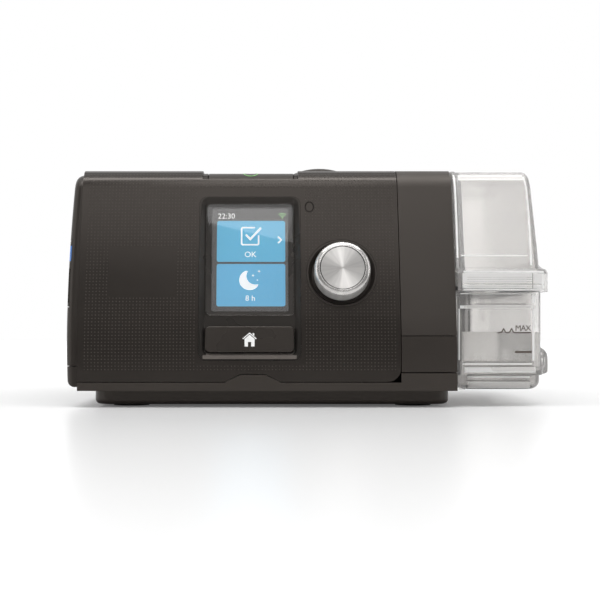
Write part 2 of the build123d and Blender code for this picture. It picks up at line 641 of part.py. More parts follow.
# ---------------------------------------------------------------- blower and air path
def blower():
    x, y = blower_x, blower_y

    def ring(z0, z1, radius):
        return rod((x, y, z0), (0, 0, 1), radius, z1 - z0)

    def slab(z0, z1):
        return block(-big, big, -big, big, z0, z1)

    inner_r = blower_r - blower_wall
    lower = ring(blower_low, blower_split, blower_r) - ring(blower_low + blower_wall, big, inner_r)
    lower += ring(blower_low - 9, blower_low + 1, 17)
    lower -= ring(blower_low - 10, blower_low + 3, 15)
    upper = ring(blower_split, blower_high, blower_r) - ring(0, blower_high - blower_wall, inner_r)
    upper -= ring(0, big, blower_inlet_r)
    # the way out, level with the flow sensor
    nozzle = block(x, duct[0] - 0.2, *duct[2:]) - ring(0, big, blower_r - 1)
    tunnel = block(x, duct[0] + 4, *shrunk(duct, blower_wall)[2:])
    lower = lower + (nozzle & slab(0, blower_split)) - (tunnel & slab(0, blower_split + 1))
    upper = upper + (nozzle & slab(blower_split, big)) - (tunnel & slab(blower_split - 1, big))
    # the impeller turns on the motor's shaft
    wheel_r, wheel_low, wheel_high, blades = 25.0, 28.5, 44.0, 9
    impeller = ring(wheel_low, wheel_low + 2, wheel_r) + ring(wheel_low, wheel_high, 5)
    for number in range(blades):
        blade = block(4, wheel_r, -0.7, 0.7, wheel_low + 1.9, wheel_high - 1)
        impeller += Pos(x, y, 0) * Rot(0, 0, 360 / blades * number) * blade
    impeller += ring(wheel_high - 2, wheel_high, wheel_r) - ring(wheel_high - 3, wheel_high + 1, 14)
    impeller -= ring(0, big, shaft_r + 0.05)
    motor = ring(floor_top + 0.6, blower_low + 2, 14.6) + ring(blower_low + 1, wheel_low - 1.5, 8)
    motor += ring(wheel_low - 2.5, wheel_high + 2, shaft_r)
    mounts = []
    for turn in (45, 135, 225, 315):
        foot_x, foot_y = x + 26 * cos(radians(turn)), y + 26 * sin(radians(turn))
        mounts.append(rod((foot_x, foot_y, floor_top), (0, 0, 1), 4, blower_low - floor_top))
    return lower, upper, motor, impeller, mounts


def muffler_parts():
    box = block(*muffler) - block(*shrunk(muffler, 2))
    box -= block(-85, -51, 50, 62, 58, 82)                       # the filter sits in front of this
    box -= rod((blower_x, blower_y, 40), (0, 0, 1), blower_inlet_r, 20)
    lining = block(*foam) - block(-80, -30, -10, 52, 70, 80)
    seal = pipe((blower_x, blower_y, blower_high), (0, 0, 1), blower_inlet_r + 3, blower_inlet_r,
                muffler[4] - blower_high)
    return box, lining, seal


# ---------------------------------------------------------------- boards and sockets
chips = [(-80, 20, 14, 14), (-50, 30, 10, 10), (-70, 62, 18, 8), (-30, 66, 12, 12), (-24, 20, 8, 16)]
board_thick = 1.6


def main_board():
    back = -40.0
    front = back - board_thick
    shape = block(-90, -6, front, back, floor_top, 92)
    for x, z, width, height in chips:
        shape += block(x, x + width, front - 1.6, front + 0.1, z, z + height)
    return shape


def power_inlet():
    z = (power_low + power_high) / 2
    shape = block(power_x - power_half, power_x + power_half, 56, body_back - 0.6, power_low, power_high)
    shape -= rod((power_x, 61, z), (0, 1, 0), 3.2, 12)
    return shape + rod((power_x, 60, z), (0, 1, 0), 0.9, 8.5)


def power_clip():
    half = power_half - 0.4
    leaf = block(power_x - half, power_x + half, body_back - 0.3, body_back + 0.9, 27.0, clip_z)
    leaf -= block(power_x - 4, power_x + 4, body_back - 1, body_back + 2, 20, 29.5)
    return hinge_barrel(clip_hinge, clip_width) + leaf


def accessory_port():
    x0, x1, z0, z1 = accessory_door
    shape = block(x0 + 2, x1 - 4, 60.2, 69.5, z0 + 2, z1 - 2)
    return shape - block(x0 + 6, x1 - 8, 63, 71, z0 + 6, z1 - 6)


def card_slot():
    x0, x1, y0, y1, z0, z1 = card_box
    return block(*slot_box) - block(x0 - 0.4, x1 + 1.1, y0 - 0.2, y1 + 0.2, z0 - 0.3, z1 + 0.3)


# ---------------------------------------------------------------- write everything
def main():
    save("base_casing", base_casing())
    save_group("rubber_feet", rubber_feet())
    save_group("case_screws", case_screws())
    save("top_casing", top_casing())
    upper, lower, door, tab = cover_pieces()
    save("left_side_cover", upper)
    save("left_lower_cover", lower)
    save("card_door", door)
    save("card_tab", tab)
    save("front_panel", front_panel())
    fascia, label = humidifier_fascia()
    save("humidifier_fascia", fascia)
    save("label_panel", label)
    names = ("screen_bezel", "screen_glass", "lcd_module", "display_board", "home_button", "home_switch")
    for name, shape in zip(names, screen_group()):
        save(name, shape)
    for name, shape in zip(("dial_well", "dial_knob", "dial_carrier", "dial_encoder"), dial_group()):
        save(name, shape)
    save("start_button", start_button())
    save("start_switch", block(-28.5, -22.5, -50, -44, 88, 91.5))
    save("light_sensor_lens", raised(sensor_plane, Ellipse(sensor_w - play, sensor_h - play), -3.0, -play))
    save("bay_liner", bay_liner())
    save_group("bay_air_seals", air_seals())
    insulator_top = floor_top + 1
    element_top = insulator_top + 0.5
    save("heater_insulator", block(heater_x0, heater_x1, -heater_half, heater_half,
                                   floor_top, insulator_top))
    save("heater_element", block(heater_x0 + 2.5, heater_x1 - 2.5, -36, 36, insulator_top, element_top))
    save("heater_plate", heater_block(element_top, heater_top))
    save("tub_base", tub_base())
    save("tub_heat_plate", heater_block(heater_top + 0.3, inner_low))
    save("tub_deck", tub_deck())
    save("tub_lid", tub_lid())
    save("lid_seal", lid_seal())
    save("lid_hinge_pin", rod((64, hinge_y, hinge_z), (1, 0, 0), hinge_pin_r, 30))
    save("outlet_hood", outlet_hood())
    save("outlet_port", outlet_port())
    lower, upper, motor, impeller, mounts = blower()
    save("blower_housing_lower", lower)
    save("blower_housing_upper", upper)
    save("blower_motor", motor)
    save("blower_impeller", impeller)
    save_group("blower_mounts", mounts)
    box, lining, seal = muffler_parts()
    save("inlet_muffler", box)
    save("muffler_foam", lining)
    save("blower_seal", seal)
    save("air_filter", block(-86, -50, 60, 66, 57, 83))
    save("filter_cover", rear_door(*filter_door))
    save("accessory_cover", rear_door(*accessory_door))
    passage = shrunk(duct, blower_wall)
    save("flow_sensor", block(*duct) - block(duct[0] - 1, duct[1] - 1.8, *passage[2:]))
    save("main_board", main_board())
    save("power_inlet", power_inlet())
    save("power_clip", power_clip())
    save("accessory_port", accessory_port())
    save("card_slot", card_slot())
    save("memory_card", block(*card_box))
    radio_top = bay_ceiling + board_thick
    save("radio_board", block(14, 52, -40, -6, bay_ceiling, radio_top))
    save("antenna", block(20, 46, -34, -33.4, radio_top, 78))


main()
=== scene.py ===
import bpy
import bmesh
import math
from mathutils import Matrix, Vector
from mathutils.bvhtree import BVHTree


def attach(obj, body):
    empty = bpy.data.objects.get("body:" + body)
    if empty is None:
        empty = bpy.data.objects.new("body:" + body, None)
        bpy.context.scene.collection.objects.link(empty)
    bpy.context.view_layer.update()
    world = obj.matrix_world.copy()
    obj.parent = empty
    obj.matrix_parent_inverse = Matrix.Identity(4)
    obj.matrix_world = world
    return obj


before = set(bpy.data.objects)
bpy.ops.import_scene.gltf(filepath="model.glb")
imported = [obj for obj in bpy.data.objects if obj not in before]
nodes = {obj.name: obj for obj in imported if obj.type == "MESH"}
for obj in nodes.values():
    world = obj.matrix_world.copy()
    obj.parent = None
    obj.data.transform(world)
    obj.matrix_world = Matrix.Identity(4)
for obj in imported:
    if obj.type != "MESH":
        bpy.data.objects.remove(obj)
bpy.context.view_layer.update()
mm = 0.001      # every size in the dictionaries below is in millimetres
print("frame loaded:", len(nodes), "nodes")


# camera, a little left of the middle and low, with a small shift for the framing
cameraLook = {"place": (-18.7, -595.0, 31.6), "lens": 76.74, "sensor": 36, "shift": (0.055, 0.05),
              "clip": (0.01, 30)}


def newPiece(name, data):
    piece = bpy.data.objects.new(name, data)
    bpy.context.scene.collection.objects.link(piece)
    return piece


def addCamera(look):
    data = bpy.data.cameras.new("frontCamera")
    data.sensor_width, data.lens = look["sensor"], look["lens"]
    data.shift_x, data.shift_y = look["shift"]
    data.clip_start, data.clip_end = look["clip"]
    camera = newPiece("frontCamera", data)
    camera.location = Vector(look["place"]) * mm
    camera.rotation_euler = (math.radians(90), 0, 0)
    bpy.context.scene.camera = camera


addCamera(cameraLook)
print("camera placed")


# node helpers: each returns the socket that the next one takes
def startMaterial(name):
    material = bpy.data.materials.new(name)
    material.use_nodes = True
    tree = material.node_tree
    coords = tree.nodes.new("ShaderNodeTexCoord")
    return material, tree, tree.nodes["Principled BSDF"], coords.outputs["Object"]


def mathNode(tree, operation, first, second=None, kind="ShaderNodeMath"):
    # each value is a socket to link or a number to set; kind may be the vector node instead
    node = tree.nodes.new(kind)
    node.operation = operation
    for i, value in enumerate((first, second)):
        if hasattr(value, "is_linked"):
            tree.links.new(value, node.inputs[i])
        elif value is not None:
            node.inputs[i].default_value = value
    return node.outputs["Value"] if operation == "LENGTH" else node.outputs[0]


def noise(tree, vector, scale, detail=2.0):
    node = tree.nodes.new("ShaderNodeTexNoise")
    node.inputs["Scale"].default_value = scale
    node.inputs["Detail"].default_value = detail
    tree.links.new(vector, node.inputs["Vector"])
    return node.outputs["Fac"]


def stretched(tree, vector, scale=(1, 1, 1), turn=(0, 0, 0)):
    node = tree.nodes.new("ShaderNodeMapping")
    node.inputs["Scale"].default_value = scale
    node.inputs["Rotation"].default_value = turn
    tree.links.new(vector, node.inputs["Vector"])
    return node.outputs["Vector"]


def spread(tree, value, low, high, start=0.3, end=0.7):
    node = tree.nodes.new("ShaderNodeMapRange")
    tree.links.new(value, node.inputs["Value"])
    node.inputs["From Min"].default_value = start
    node.inputs["From Max"].default_value = end
    node.inputs["To Min"].default_value = low
    node.inputs["To Max"].default_value = high
    return node.outputs["Result"]


def mixColours(tree, factor, first, second):
    node = tree.nodes.new("ShaderNodeMix")
    node.data_type = "RGBA"
    tree.links.new(factor, node.inputs["Factor"])
    for key, value in (("A", first), ("B", second)):
        socket = [s for s in node.inputs if s.name == key and s.type == "RGBA"][0]
        if isinstance(value, tuple):
            socket.default_value = value + (1,)
        else:
            tree.links.new(value, socket)
    return [s for s in node.outputs if s.type == "RGBA"][0]


def colourBy(tree, shader, pattern, look, second="lighter"):
    # the base colour runs from the look's colour to its second one with the pattern
    colour = mixColours(tree, spread(tree, pattern, 0, 1), look["colour"], look[second])
    tree.links.new(colour, shader.inputs["Base Color"])
    return colour


def roughenBy(tree, shader, pattern, look):
    tree.links.new(spread(tree, pattern, *look["roughness"]), shader.inputs["Roughness"])


def addBump(tree, shader, height, strength, depth):     # depth in millimetres
    node = tree.nodes.new("ShaderNodeBump")
    node.inputs["Strength"].default_value = strength
    node.inputs["Distance"].default_value = depth * mm
    tree.links.new(height, node.inputs["Height"])
    tree.links.new(node.outputs["Normal"], shader.inputs["Normal"])


# moulded plastics: eroded grain, slow cloudiness and a roughness that wanders a little
commonPlastic = {"cloudScale": 45, "grainScale": 3800, "grain": 0.25, "grainDepth": 0.02, "ior": 1.46,
                 "sheenTint": (1, 0.9, 0.82, 1)}


def mouldedPlastic(name, look):
    look = {**commonPlastic, **look}
    material, tree, shader, coords = startMaterial(name)
    cloud = noise(tree, coords, look["cloudScale"], 3)
    grain = noise(tree, coords, look["grainScale"], 2)
    shader.inputs["IOR"].default_value = look["ior"]
    shader.inputs["Specular Tint"].default_value = look["sheenTint"]
    colourBy(tree, shader, cloud, look)
    roughenBy(tree, shader, cloud, look)
    addBump(tree, shader, grain, look["grain"], look["grainDepth"])
    return material


plasticLooks = {
    "casingPlastic": {"colour": (0.021, 0.0178, 0.0155), "lighter": (0.024, 0.0203, 0.0178),
                      "roughness": (0.34, 0.40)},
    "frontPlastic": {"colour": (0.019, 0.0160, 0.0140), "lighter": (0.022, 0.0186, 0.0163),
                     "roughness": (0.22, 0.27)},
    "dotPlastic": {"colour": (0.050, 0.044, 0.039), "lighter": (0.058, 0.051, 0.045),
                   "roughness": (0.5, 0.58), "ior": 1.3},
    "fasciaPlastic": {"colour": (0.025, 0.0213, 0.0187), "lighter": (0.028, 0.024, 0.021),
                      "roughness": (0.42, 0.5), "grain": 0.12, "ior": 1.6},
    "labelPlastic": {"colour": (0.029, 0.0247, 0.0217), "lighter": (0.032, 0.0272, 0.024),
                     "roughness": (0.36, 0.42), "grain": 0.12},
    "bezelPlastic": {"colour": (0.013, 0.012, 0.011), "lighter": (0.015, 0.0138, 0.0127),
                     "roughness": (0.26, 0.32), "grain": 0.12},
    "keyPlastic": {"colour": (0.024, 0.0203, 0.0178), "lighter": (0.027, 0.023, 0.020),
                   "roughness": (0.26, 0.32), "grain": 0.12},
    "basePlastic": {"colour": (0.038, 0.0325, 0.0285), "lighter": (0.042, 0.036, 0.0315),
                    "roughness": (0.34, 0.40)},
    "wellPlastic": {"colour": (0.03, 0.0262, 0.0235), "lighter": (0.034, 0.0297, 0.0266),
                    "roughness": (0.28, 0.34), "grain": 0.1},
    # near-black painted shade, laid in the dial's groove and in the gap round the light sensor
    "paintedGapShade": {"colour": (0.003, 0.0028, 0.0026), "lighter": (0.004, 0.0037, 0.0035),
                 "roughness": (0.6, 0.7), "ior": 1.1},
    # a lighter grey for the screen frame's lower bevel: a painted highlight
    "paintedSillHighlight": {"colour": (0.13, 0.115, 0.105), "lighter": (0.15, 0.133, 0.12),
                    "roughness": (0.4, 0.5), "grain": 0.1},
    "innerPlastic": {"colour": (0.06, 0.058, 0.055), "lighter": (0.07, 0.067, 0.064),
                     "roughness": (0.42, 0.5)},
    "linerPlastic": {"colour": (0.05, 0.048, 0.046), "lighter": (0.058, 0.055, 0.052),
                     "roughness": (0.38, 0.46)},
    "tabBlue": {"colour": (0.042, 0.2, 0.62), "lighter": (0.06, 0.25, 0.7), "roughness": (0.3, 0.36),
                "grain": 0.1},
    # near-white painted highlight, laid along the tub's and lid's edges
    "paintedEdgeHighlight": {"colour": (0.9, 0.895, 0.885), "lighter": (0.95, 0.945, 0.94), "roughness": (0.2, 0.3),
                   "grain": 0.05},
    # grey painted shade, laid in thin lines beside the tub's and lid's edges
    "paintedEdgeShade": {"colour": (0.24, 0.232, 0.225), "lighter": (0.3, 0.29, 0.28), "roughness": (0.3, 0.4),
                 "grain": 0.05},
    "socketBlack": {"colour": (0.012, 0.012, 0.012), "lighter": (0.016, 0.016, 0.016),
                    "roughness": (0.4, 0.5)},
    "blowerPlastic": {"colour": (0.35, 0.35, 0.34), "lighter": (0.42, 0.42, 0.41), "roughness": (0.35, 0.42)},
    "printBrown": {"colour": (0.07, 0.05, 0.042), "lighter": (0.09, 0.066, 0.056), "roughness": (0.45, 0.55)},
}
finishes = {name: mouldedPlastic(name, look) for name, look in plasticLooks.items()}


# soft mouldings: rubber and silicone with a chalky bloom
commonRubber = {"bloomScale": 120, "roughness": (0.62, 0.78), "grainScale": 2600, "grain": 0.4,
                "grainDepth": 0.03}


def rubberMaterial(name, look):
    look = {**commonRubber, **look}
    material, tree, shader, coords = startMaterial(name)
    bloom = noise(tree, coords, look["bloomScale"], 4)
    colourBy(tree, shader, bloom, look, "bloom")
    roughenBy(tree, shader, bloom, look)
    addBump(tree, shader, noise(tree, coords, look["grainScale"], 2), look["grain"], look["grainDepth"])
    return material


rubberLooks = {
    "footRubber": {"colour": (0.011, 0.0095, 0.0085), "bloom": (0.017, 0.0145, 0.0125)},
    "sealSilicone": {"colour": (0.35, 0.36, 0.37), "bloom": (0.48, 0.49, 0.5)},
    "mountRubber": {"colour": (0.02, 0.02, 0.02), "bloom": (0.035, 0.035, 0.035)},
}
finishes.update({name: rubberMaterial(name, look) for name, look in rubberLooks.items()})


# open foam: dark cells between pale struts
def foamMaterial(name, look):
    material, tree, shader, coords = startMaterial(name)
    cells = tree.nodes.new("ShaderNodeTexVoronoi")
    cells.feature = "DISTANCE_TO_EDGE"
    cells.inputs["Scale"].default_value = look["cells"]
    tree.links.new(coords, cells.inputs["Vector"])
    wall = spread(tree, cells.outputs["Distance"], 1, 0, *look["wall"])
    tree.links.new(mixColours(tree, wall, look["deep"], look["strut"]), shader.inputs["Base Color"])
    shader.inputs["Roughness"].default_value = look["roughness"]
    addBump(tree, shader, wall, *look["relief"])
    return material


foamLooks = {
    "foam": {"cells": 900, "wall": (0.02, 0.2), "deep": (0.05, 0.05, 0.05), "strut": (0.3, 0.3, 0.3),
             "roughness": 0.9, "relief": (0.8, 0.2)},
    "filterFleece": {"cells": 1500, "wall": (0.02, 0.2), "deep": (0.5, 0.5, 0.5),
                     "strut": (0.85, 0.85, 0.84), "roughness": 0.9, "relief": (0.8, 0.2)},
}
finishes.update({name: foamMaterial(name, look) for name, look in foamLooks.items()})


# metals with a fine directional scratch
scratchRelief = (0.15, 0.01)


def scratchedMetal(name, look):
    material, tree, shader, coords = startMaterial(name)
    lines = noise(tree, stretched(tree, coords, look["along"]), 1.0, 4)
    shader.inputs["Metallic"].default_value = 1
    colourBy(tree, shader, lines, look)
    roughenBy(tree, shader, lines, look)
    addBump(tree, shader, lines, *scratchRelief)
    return material


metalLooks = {
    "brushedSteel": {"colour": (0.46, 0.45, 0.44), "lighter": (0.6, 0.59, 0.58), "roughness": (0.24, 0.36),
                     "along": (120, 4000, 4000)},
    "screwSteel": {"colour": (0.2, 0.2, 0.2), "lighter": (0.32, 0.32, 0.31), "roughness": (0.3, 0.42),
                   "along": (2500, 900, 2500)},
    "motorPaint": {"colour": (0.2, 0.2, 0.21), "lighter": (0.3, 0.3, 0.31), "roughness": (0.35, 0.5),
                   "along": (900, 900, 90)},
}
finishes.update({name: scratchedMetal(name, look) for name, look in metalLooks.items()})


# circuit boards: solder mask over faint copper runs
boardLook = {"mask": (0.012, 0.09, 0.035), "copper": (0.03, 0.17, 0.07), "scale": 260, "gap": 0.03,
             "turn": (0.6, 0.6, 0.3), "roughness": 0.3, "coat": 0.3, "relief": (0.3, 0.02)}


def boardMaterial(name, look):
    material, tree, shader, coords = startMaterial(name)
    runs = tree.nodes.new("ShaderNodeTexBrick")
    runs.inputs["Scale"].default_value = look["scale"]
    runs.inputs["Mortar Size"].default_value = look["gap"]
    tree.links.new(stretched(tree, coords, turn=look["turn"]), runs.inputs["Vector"])
    colour = mixColours(tree, runs.outputs["Fac"], look["mask"], look["copper"])
    tree.links.new(colour, shader.inputs["Base Color"])
    shader.inputs["Roughness"].default_value = look["roughness"]
    shader.inputs["Coat Weight"].default_value = look["coat"]
    addBump(tree, shader, runs.outputs["Fac"], *look["relief"])
    return material


finishes["circuitBoard"] = boardMaterial("circuitBoard", boardLook)


# turned metal of the dial: grooves run round its tilted axis, so highlights open as wedges
dialLook = {"centre": (12.1, -68.11, 55.1), "tilt": 14.6, "colour": (0.64, 0.625, 0.61),
            "lighter": (0.76, 0.74, 0.72), "anisotropy": 0.95, "roughness": (0.32, 0.37),
            "grooves": (6500, 1, 1), "streaks": (5, 5, 5),
            "rimRadius": (9.2, 9.6), "rimPolish": 0.6, "wallRadius": (11.2, 11.45), "wallMetal": 0.35}


def turnedMetal(name, look):
    material, tree, shader, coords = startMaterial(name)
    tilt = math.radians(look["tilt"])
    away = mathNode(tree, "SUBTRACT", coords, Vector(look["centre"]) * mm, "ShaderNodeVectorMath")
    axis = (0.0, -math.cos(tilt), math.sin(tilt))
    along = mathNode(tree, "CROSS_PRODUCT", axis, away, "ShaderNodeVectorMath")
    tangent = mathNode(tree, "NORMALIZE", along, None, "ShaderNodeVectorMath")
    radius = mathNode(tree, "LENGTH", along, None, "ShaderNodeVectorMath")
    turns = tree.nodes.new("ShaderNodeCombineXYZ")
    tree.links.new(radius, turns.inputs["X"])
    grooves = noise(tree, stretched(tree, turns.outputs["Vector"], look["grooves"]), 1.0, 3)
    streaks = noise(tree, stretched(tree, tangent, look["streaks"]), 1.0, 3)
    colourBy(tree, shader, streaks, look)
    # the side wall is satin, so it stays light beside its dark well
    wallStart, wallEnd = (r * mm for r in look["wallRadius"])
    tree.links.new(spread(tree, radius, 1, look["wallMetal"], wallStart, wallEnd), shader.inputs["Metallic"])
    # the grooves scatter light across themselves, a quarter turn from the way they run
    shader.inputs["Anisotropic"].default_value = look["anisotropy"]
    shader.inputs["Anisotropic Rotation"].default_value = 0.25
    tree.links.new(tangent, shader.inputs["Tangent"])
    rimStart, rimEnd = (r * mm for r in look["rimRadius"])
    polish = spread(tree, radius, 1, look["rimPolish"], rimStart, rimEnd)
    rough = mathNode(tree, "MULTIPLY", spread(tree, grooves, *look["roughness"]), polish)
    tree.links.new(rough, shader.inputs["Roughness"])
    return material


finishes["turnedDial"] = turnedMetal("turnedDial", dialLook)


# clear mouldings of the tub: frosted skin with milky clouds
def frostedPlastic(name, look):
    material, tree, shader, coords = startMaterial(name)
    cloud = noise(tree, coords, look["cloudScale"], 3)
    colourBy(tree, shader, cloud, look, "milky")
    roughenBy(tree, shader, cloud, look)
    shader.inputs["IOR"].default_value = look["ior"]
    shader.inputs["Transmission Weight"].default_value = look["clear"]
    return material


frostedLooks = {
    "lidClear": {"colour": (0.975, 0.96, 0.945), "milky": (1, 0.985, 0.97), "clear": 0.84, "ior": 1.4,
                 "roughness": (0.14, 0.24), "cloudScale": 40},
    "tubClear": {"colour": (0.95, 0.935, 0.92), "milky": (0.99, 0.975, 0.96), "clear": 0.84, "ior": 1.4,
                 "roughness": (0.08, 0.16), "cloudScale": 55},
    "deckClear": {"colour": (0.9, 0.885, 0.87), "milky": (0.95, 0.935, 0.92), "clear": 0.8, "ior": 1.35,
                  "roughness": (0.2, 0.32), "cloudScale": 60},
    "edgeMilky": {"colour": (0.98, 0.97, 0.96), "milky": (1, 0.995, 0.985), "clear": 0.25, "ior": 1.3,
                  "roughness": (0.3, 0.4), "cloudScale": 60},
}
finishes.update({name: frostedPlastic(name, look) for name, look in frostedLooks.items()})


# water: clear, with a faint drift of haze
waterFinish = {"colour": (0.76, 0.755, 0.74), "hazy": (0.82, 0.815, 0.805), "driftScale": 60,
               "roughness": (0.0, 0.12), "clear": 0.92, "ior": 1.33}


def waterMaterial(name, look):
    material, tree, shader, coords = startMaterial(name)
    drift = noise(tree, coords, look["driftScale"], 2)
    colourBy(tree, shader, drift, look, "hazy")
    roughenBy(tree, shader, drift, look)
    shader.inputs["Transmission Weight"].default_value = look["clear"]
    shader.inputs["IOR"].default_value = look["ior"]
    return material


finishes["water"] = waterMaterial("water", waterFinish)


# display: thin cover glass, and colours that glow a little by themselves
glassLook = {"colour": (0.9, 0.9, 0.9, 1), "hazeScale": 90, "roughness": (0.0, 0.02), "ior": 1.5}


def coverGlass(name, look):
    material, tree, shader, coords = startMaterial(name)
    shader.inputs["Base Color"].default_value = look["colour"]
    shader.inputs["Transmission Weight"].default_value = 1
    shader.inputs["IOR"].default_value = look["ior"]
    roughenBy(tree, shader, noise(tree, coords, look["hazeScale"], 2), look)
    return material


def litColour(name, look, pixels=(4200, 1, 4200), roughness=0.35):
    material, tree, shader, coords = startMaterial(name)
    colour = colourBy(tree, shader, noise(tree, stretched(tree, coords, pixels), 1.0, 0), look)
    tree.links.new(colour, shader.inputs["Emission Color"])
    shader.inputs["Emission Strength"].default_value = look["glow"]
    shader.inputs["Roughness"].default_value = roughness
    return material


litLooks = {
    "lcdGround": {"colour": (0.028, 0.026, 0.025), "lighter": (0.032, 0.03, 0.029), "glow": 1.3},
    "tileBlue": {"colour": (0.103, 0.432, 0.655), "lighter": (0.107, 0.442, 0.665), "glow": 0.42},
    "tileBlueLow": {"colour": (0.12, 0.425, 0.67), "lighter": (0.123, 0.435, 0.68), "glow": 0.42},
    "iconWhite": {"colour": (0.85, 0.87, 0.88), "lighter": (0.9, 0.91, 0.92), "glow": 0.5},
    "headerWhite": {"colour": (0.75, 0.75, 0.74), "lighter": (0.8, 0.8, 0.79), "glow": 0.5},
    "signalGreen": {"colour": (0.22, 0.5, 0.16), "lighter": (0.24, 0.53, 0.18), "glow": 0.4},
    "ringGreen": {"colour": (0.16, 0.42, 0.12), "lighter": (0.2, 0.48, 0.15), "glow": 0.15},
    "homeWhite": {"colour": (0.8, 0.8, 0.79), "lighter": (0.84, 0.84, 0.83), "glow": 0.15},
}
finishes["coverGlass"] = coverGlass("coverGlass", glassLook)
finishes.update({name: litColour(name, look) for name, look in litLooks.items()})
print("finishes made:", len(finishes))


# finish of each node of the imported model
nodeFinish = {
    "casingPlastic": ["top_casing", "left_side_cover", "left_lower_cover", "card_door",
                      "outlet_hood", "filter_cover", "accessory_cover", "power_clip", "start_button"],
    "frontPlastic": ["front_panel", "light_sensor_lens"],
    "fasciaPlastic": ["humidifier_fascia"],
    "labelPlastic": ["label_panel"],
    "basePlastic": ["base_casing"],
    "bezelPlastic": ["screen_bezel"],
    "keyPlastic": ["home_button"],
    "wellPlastic": ["dial_well"],
    "innerPlastic": ["dial_carrier", "dial_encoder", "home_switch", "start_switch", "heater_insulator",
                     "card_slot", "inlet_muffler", "flow_sensor", "antenna"],
    "linerPlastic": ["bay_liner"],
    "socketBlack": ["power_inlet", "accessory_port", "memory_card"],
    "tabBlue": ["card_tab"],
    "blowerPlastic": ["blower_housing_lower", "blower_housing_upper", "blower_impeller", "outlet_port"],
    "footRubber": ["rubber_feet"],
    "sealSilicone": ["bay_air_seals", "lid_seal", "blower_seal"],
    "mountRubber": ["blower_mounts"],
    "foam": ["muffler_foam"],
    "filterFleece": ["air_filter"],
    "brushedSteel": ["heater_plate", "tub_heat_plate", "lid_hinge_pin"],
    "screwSteel": ["case_screws"],
    "motorPaint": ["blower_motor", "heater_element"],
    "circuitBoard": ["main_board", "radio_board", "display_board"],
    "lcdGround": ["lcd_module"],
    "turnedDial": ["dial_knob"],
    "coverGlass": ["screen_glass"],
    "lidClear": ["tub_lid"],
    "tubClear": ["tub_base"],
    "deckClear": ["tub_deck"],
}


def dressNodes(table):
    for finish, names in table.items():
        for name in names:
            for slot in nodes[name].material_slots:
                slot.material = finishes[finish]


dressNodes(nodeFinish)
print("nodes dressed:", sum(len(names) for names in nodeFinish.values()), "of", len(nodes))


# small makers for solid pieces: each is laid out in millimetres on a plane, then placed in its mesh
def finishPiece(piece, body, finish):
    piece.data.materials.clear()
    piece.data.materials.append(finishes[finish])
    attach(piece, body)


def planeAt(origin, tilt):
    # x to the right, y up the slope, z out of the face
    lean = math.radians(tilt)
    turn = Matrix(((1, 0, 0), (0, math.sin(lean), -math.cos(lean)), (0, math.cos(lean), math.sin(lean))))
    return Matrix.Translation(Vector(origin) * mm) @ turn.to_4x4() @ Matrix.Scale(mm, 4)


def arcPoints(centre, radius, start, end, steps):
    angles = [math.radians(start + (end - start) * i / steps) for i in range(steps + 1)]
    return [(centre[0] + radius * math.cos(a), centre[1] + radius * math.sin(a)) for a in angles]


def roundedOutline(left, low, right, high, radius, steps=6):
    points = []
    for x, y, start in ((right - radius, high - radius, 0), (left + radius, high - radius, 90),
                        (left + radius, low + radius, 180), (right - radius, low + radius, 270)):
        points += arcPoints((x, y), radius, start, start + 90, steps)
    return points


def bandFaces(mesh, loops, closed=False):
    # faces between rings of points; closed joins the last ring to the first
    for loop, other in zip(loops, loops[1:] + (loops[:1] if closed else [])):
        for i in range(len(loop)):
            j = (i + 1) % len(loop)
            mesh.faces.new((loop[i], loop[j], other[j], other[i]))


def addPrism(mesh, outline, low, high, place):
    ends = [[mesh.verts.new(place @ Vector((x, y, level))) for x, y in outline] for level in (low, high)]
    for end in ends:
        mesh.faces.new(end)
    bandFaces(mesh, ends)


def meshPiece(name, mesh):
    # every piece is closed, so its faces can be turned outwards here
    bmesh.ops.recalc_face_normals(mesh, faces=mesh.faces)
    data = bpy.data.meshes.new(name)
    mesh.to_mesh(data)
    mesh.free()
    return newPiece(name, data)


def slabs(name, outlines, low, high, place):
    mesh = bmesh.new()
    for outline in outlines:
        addPrism(mesh, outline, low, high, place)
    return meshPiece(name, mesh)


def strokeOutline(points, width, closed=False):
    # the outline of a line drawn with a flat pen, mitred at its corners
    left, right = [], []
    count = len(points)
    for i, point in enumerate(points):
        here = Vector(point)
        before = Vector(points[i - 1]) if i or closed else None
        after = Vector(points[(i + 1) % count]) if i < count - 1 or closed else None
        into = (here - before).normalized() if before else (after - here).normalized()
        out = (after - here).normalized() if after else into
        bisector = (into + out).normalized()
        side = Vector((-bisector.y, bisector.x))
        reach = width / 2 / max(0.35, side.dot(Vector((-into.y, into.x))))
        left.append(tuple(here + side * reach))
        right.append(tuple(here - side * reach))
    return left, right


def strokes(name, lines, width, low, high, place):
    # each line is a list of points; a closed one repeats its first point
    mesh = bmesh.new()
    for line in lines:
        closed = line[0] == line[-1]
        points = line[:-1] if closed else line
        left, right = strokeOutline(points, width, closed)
        if not closed:
            addPrism(mesh, left + right[::-1], low, high, place)
            continue
        loops = [[mesh.verts.new(place @ Vector((x, y, level))) for x, y in side]
                 for side, level in ((left, low), (left, high), (right, high), (right, low))]
        bandFaces(mesh, loops, closed=True)
    return meshPiece(name, mesh)


def plainMesh(piece):
    # the evaluated mesh of a piece, which itself is removed
    bpy.context.view_layer.update()
    data = bpy.data.meshes.new_from_object(piece.evaluated_get(bpy.context.evaluated_depsgraph_get()))
    bpy.data.objects.remove(piece)
    return data


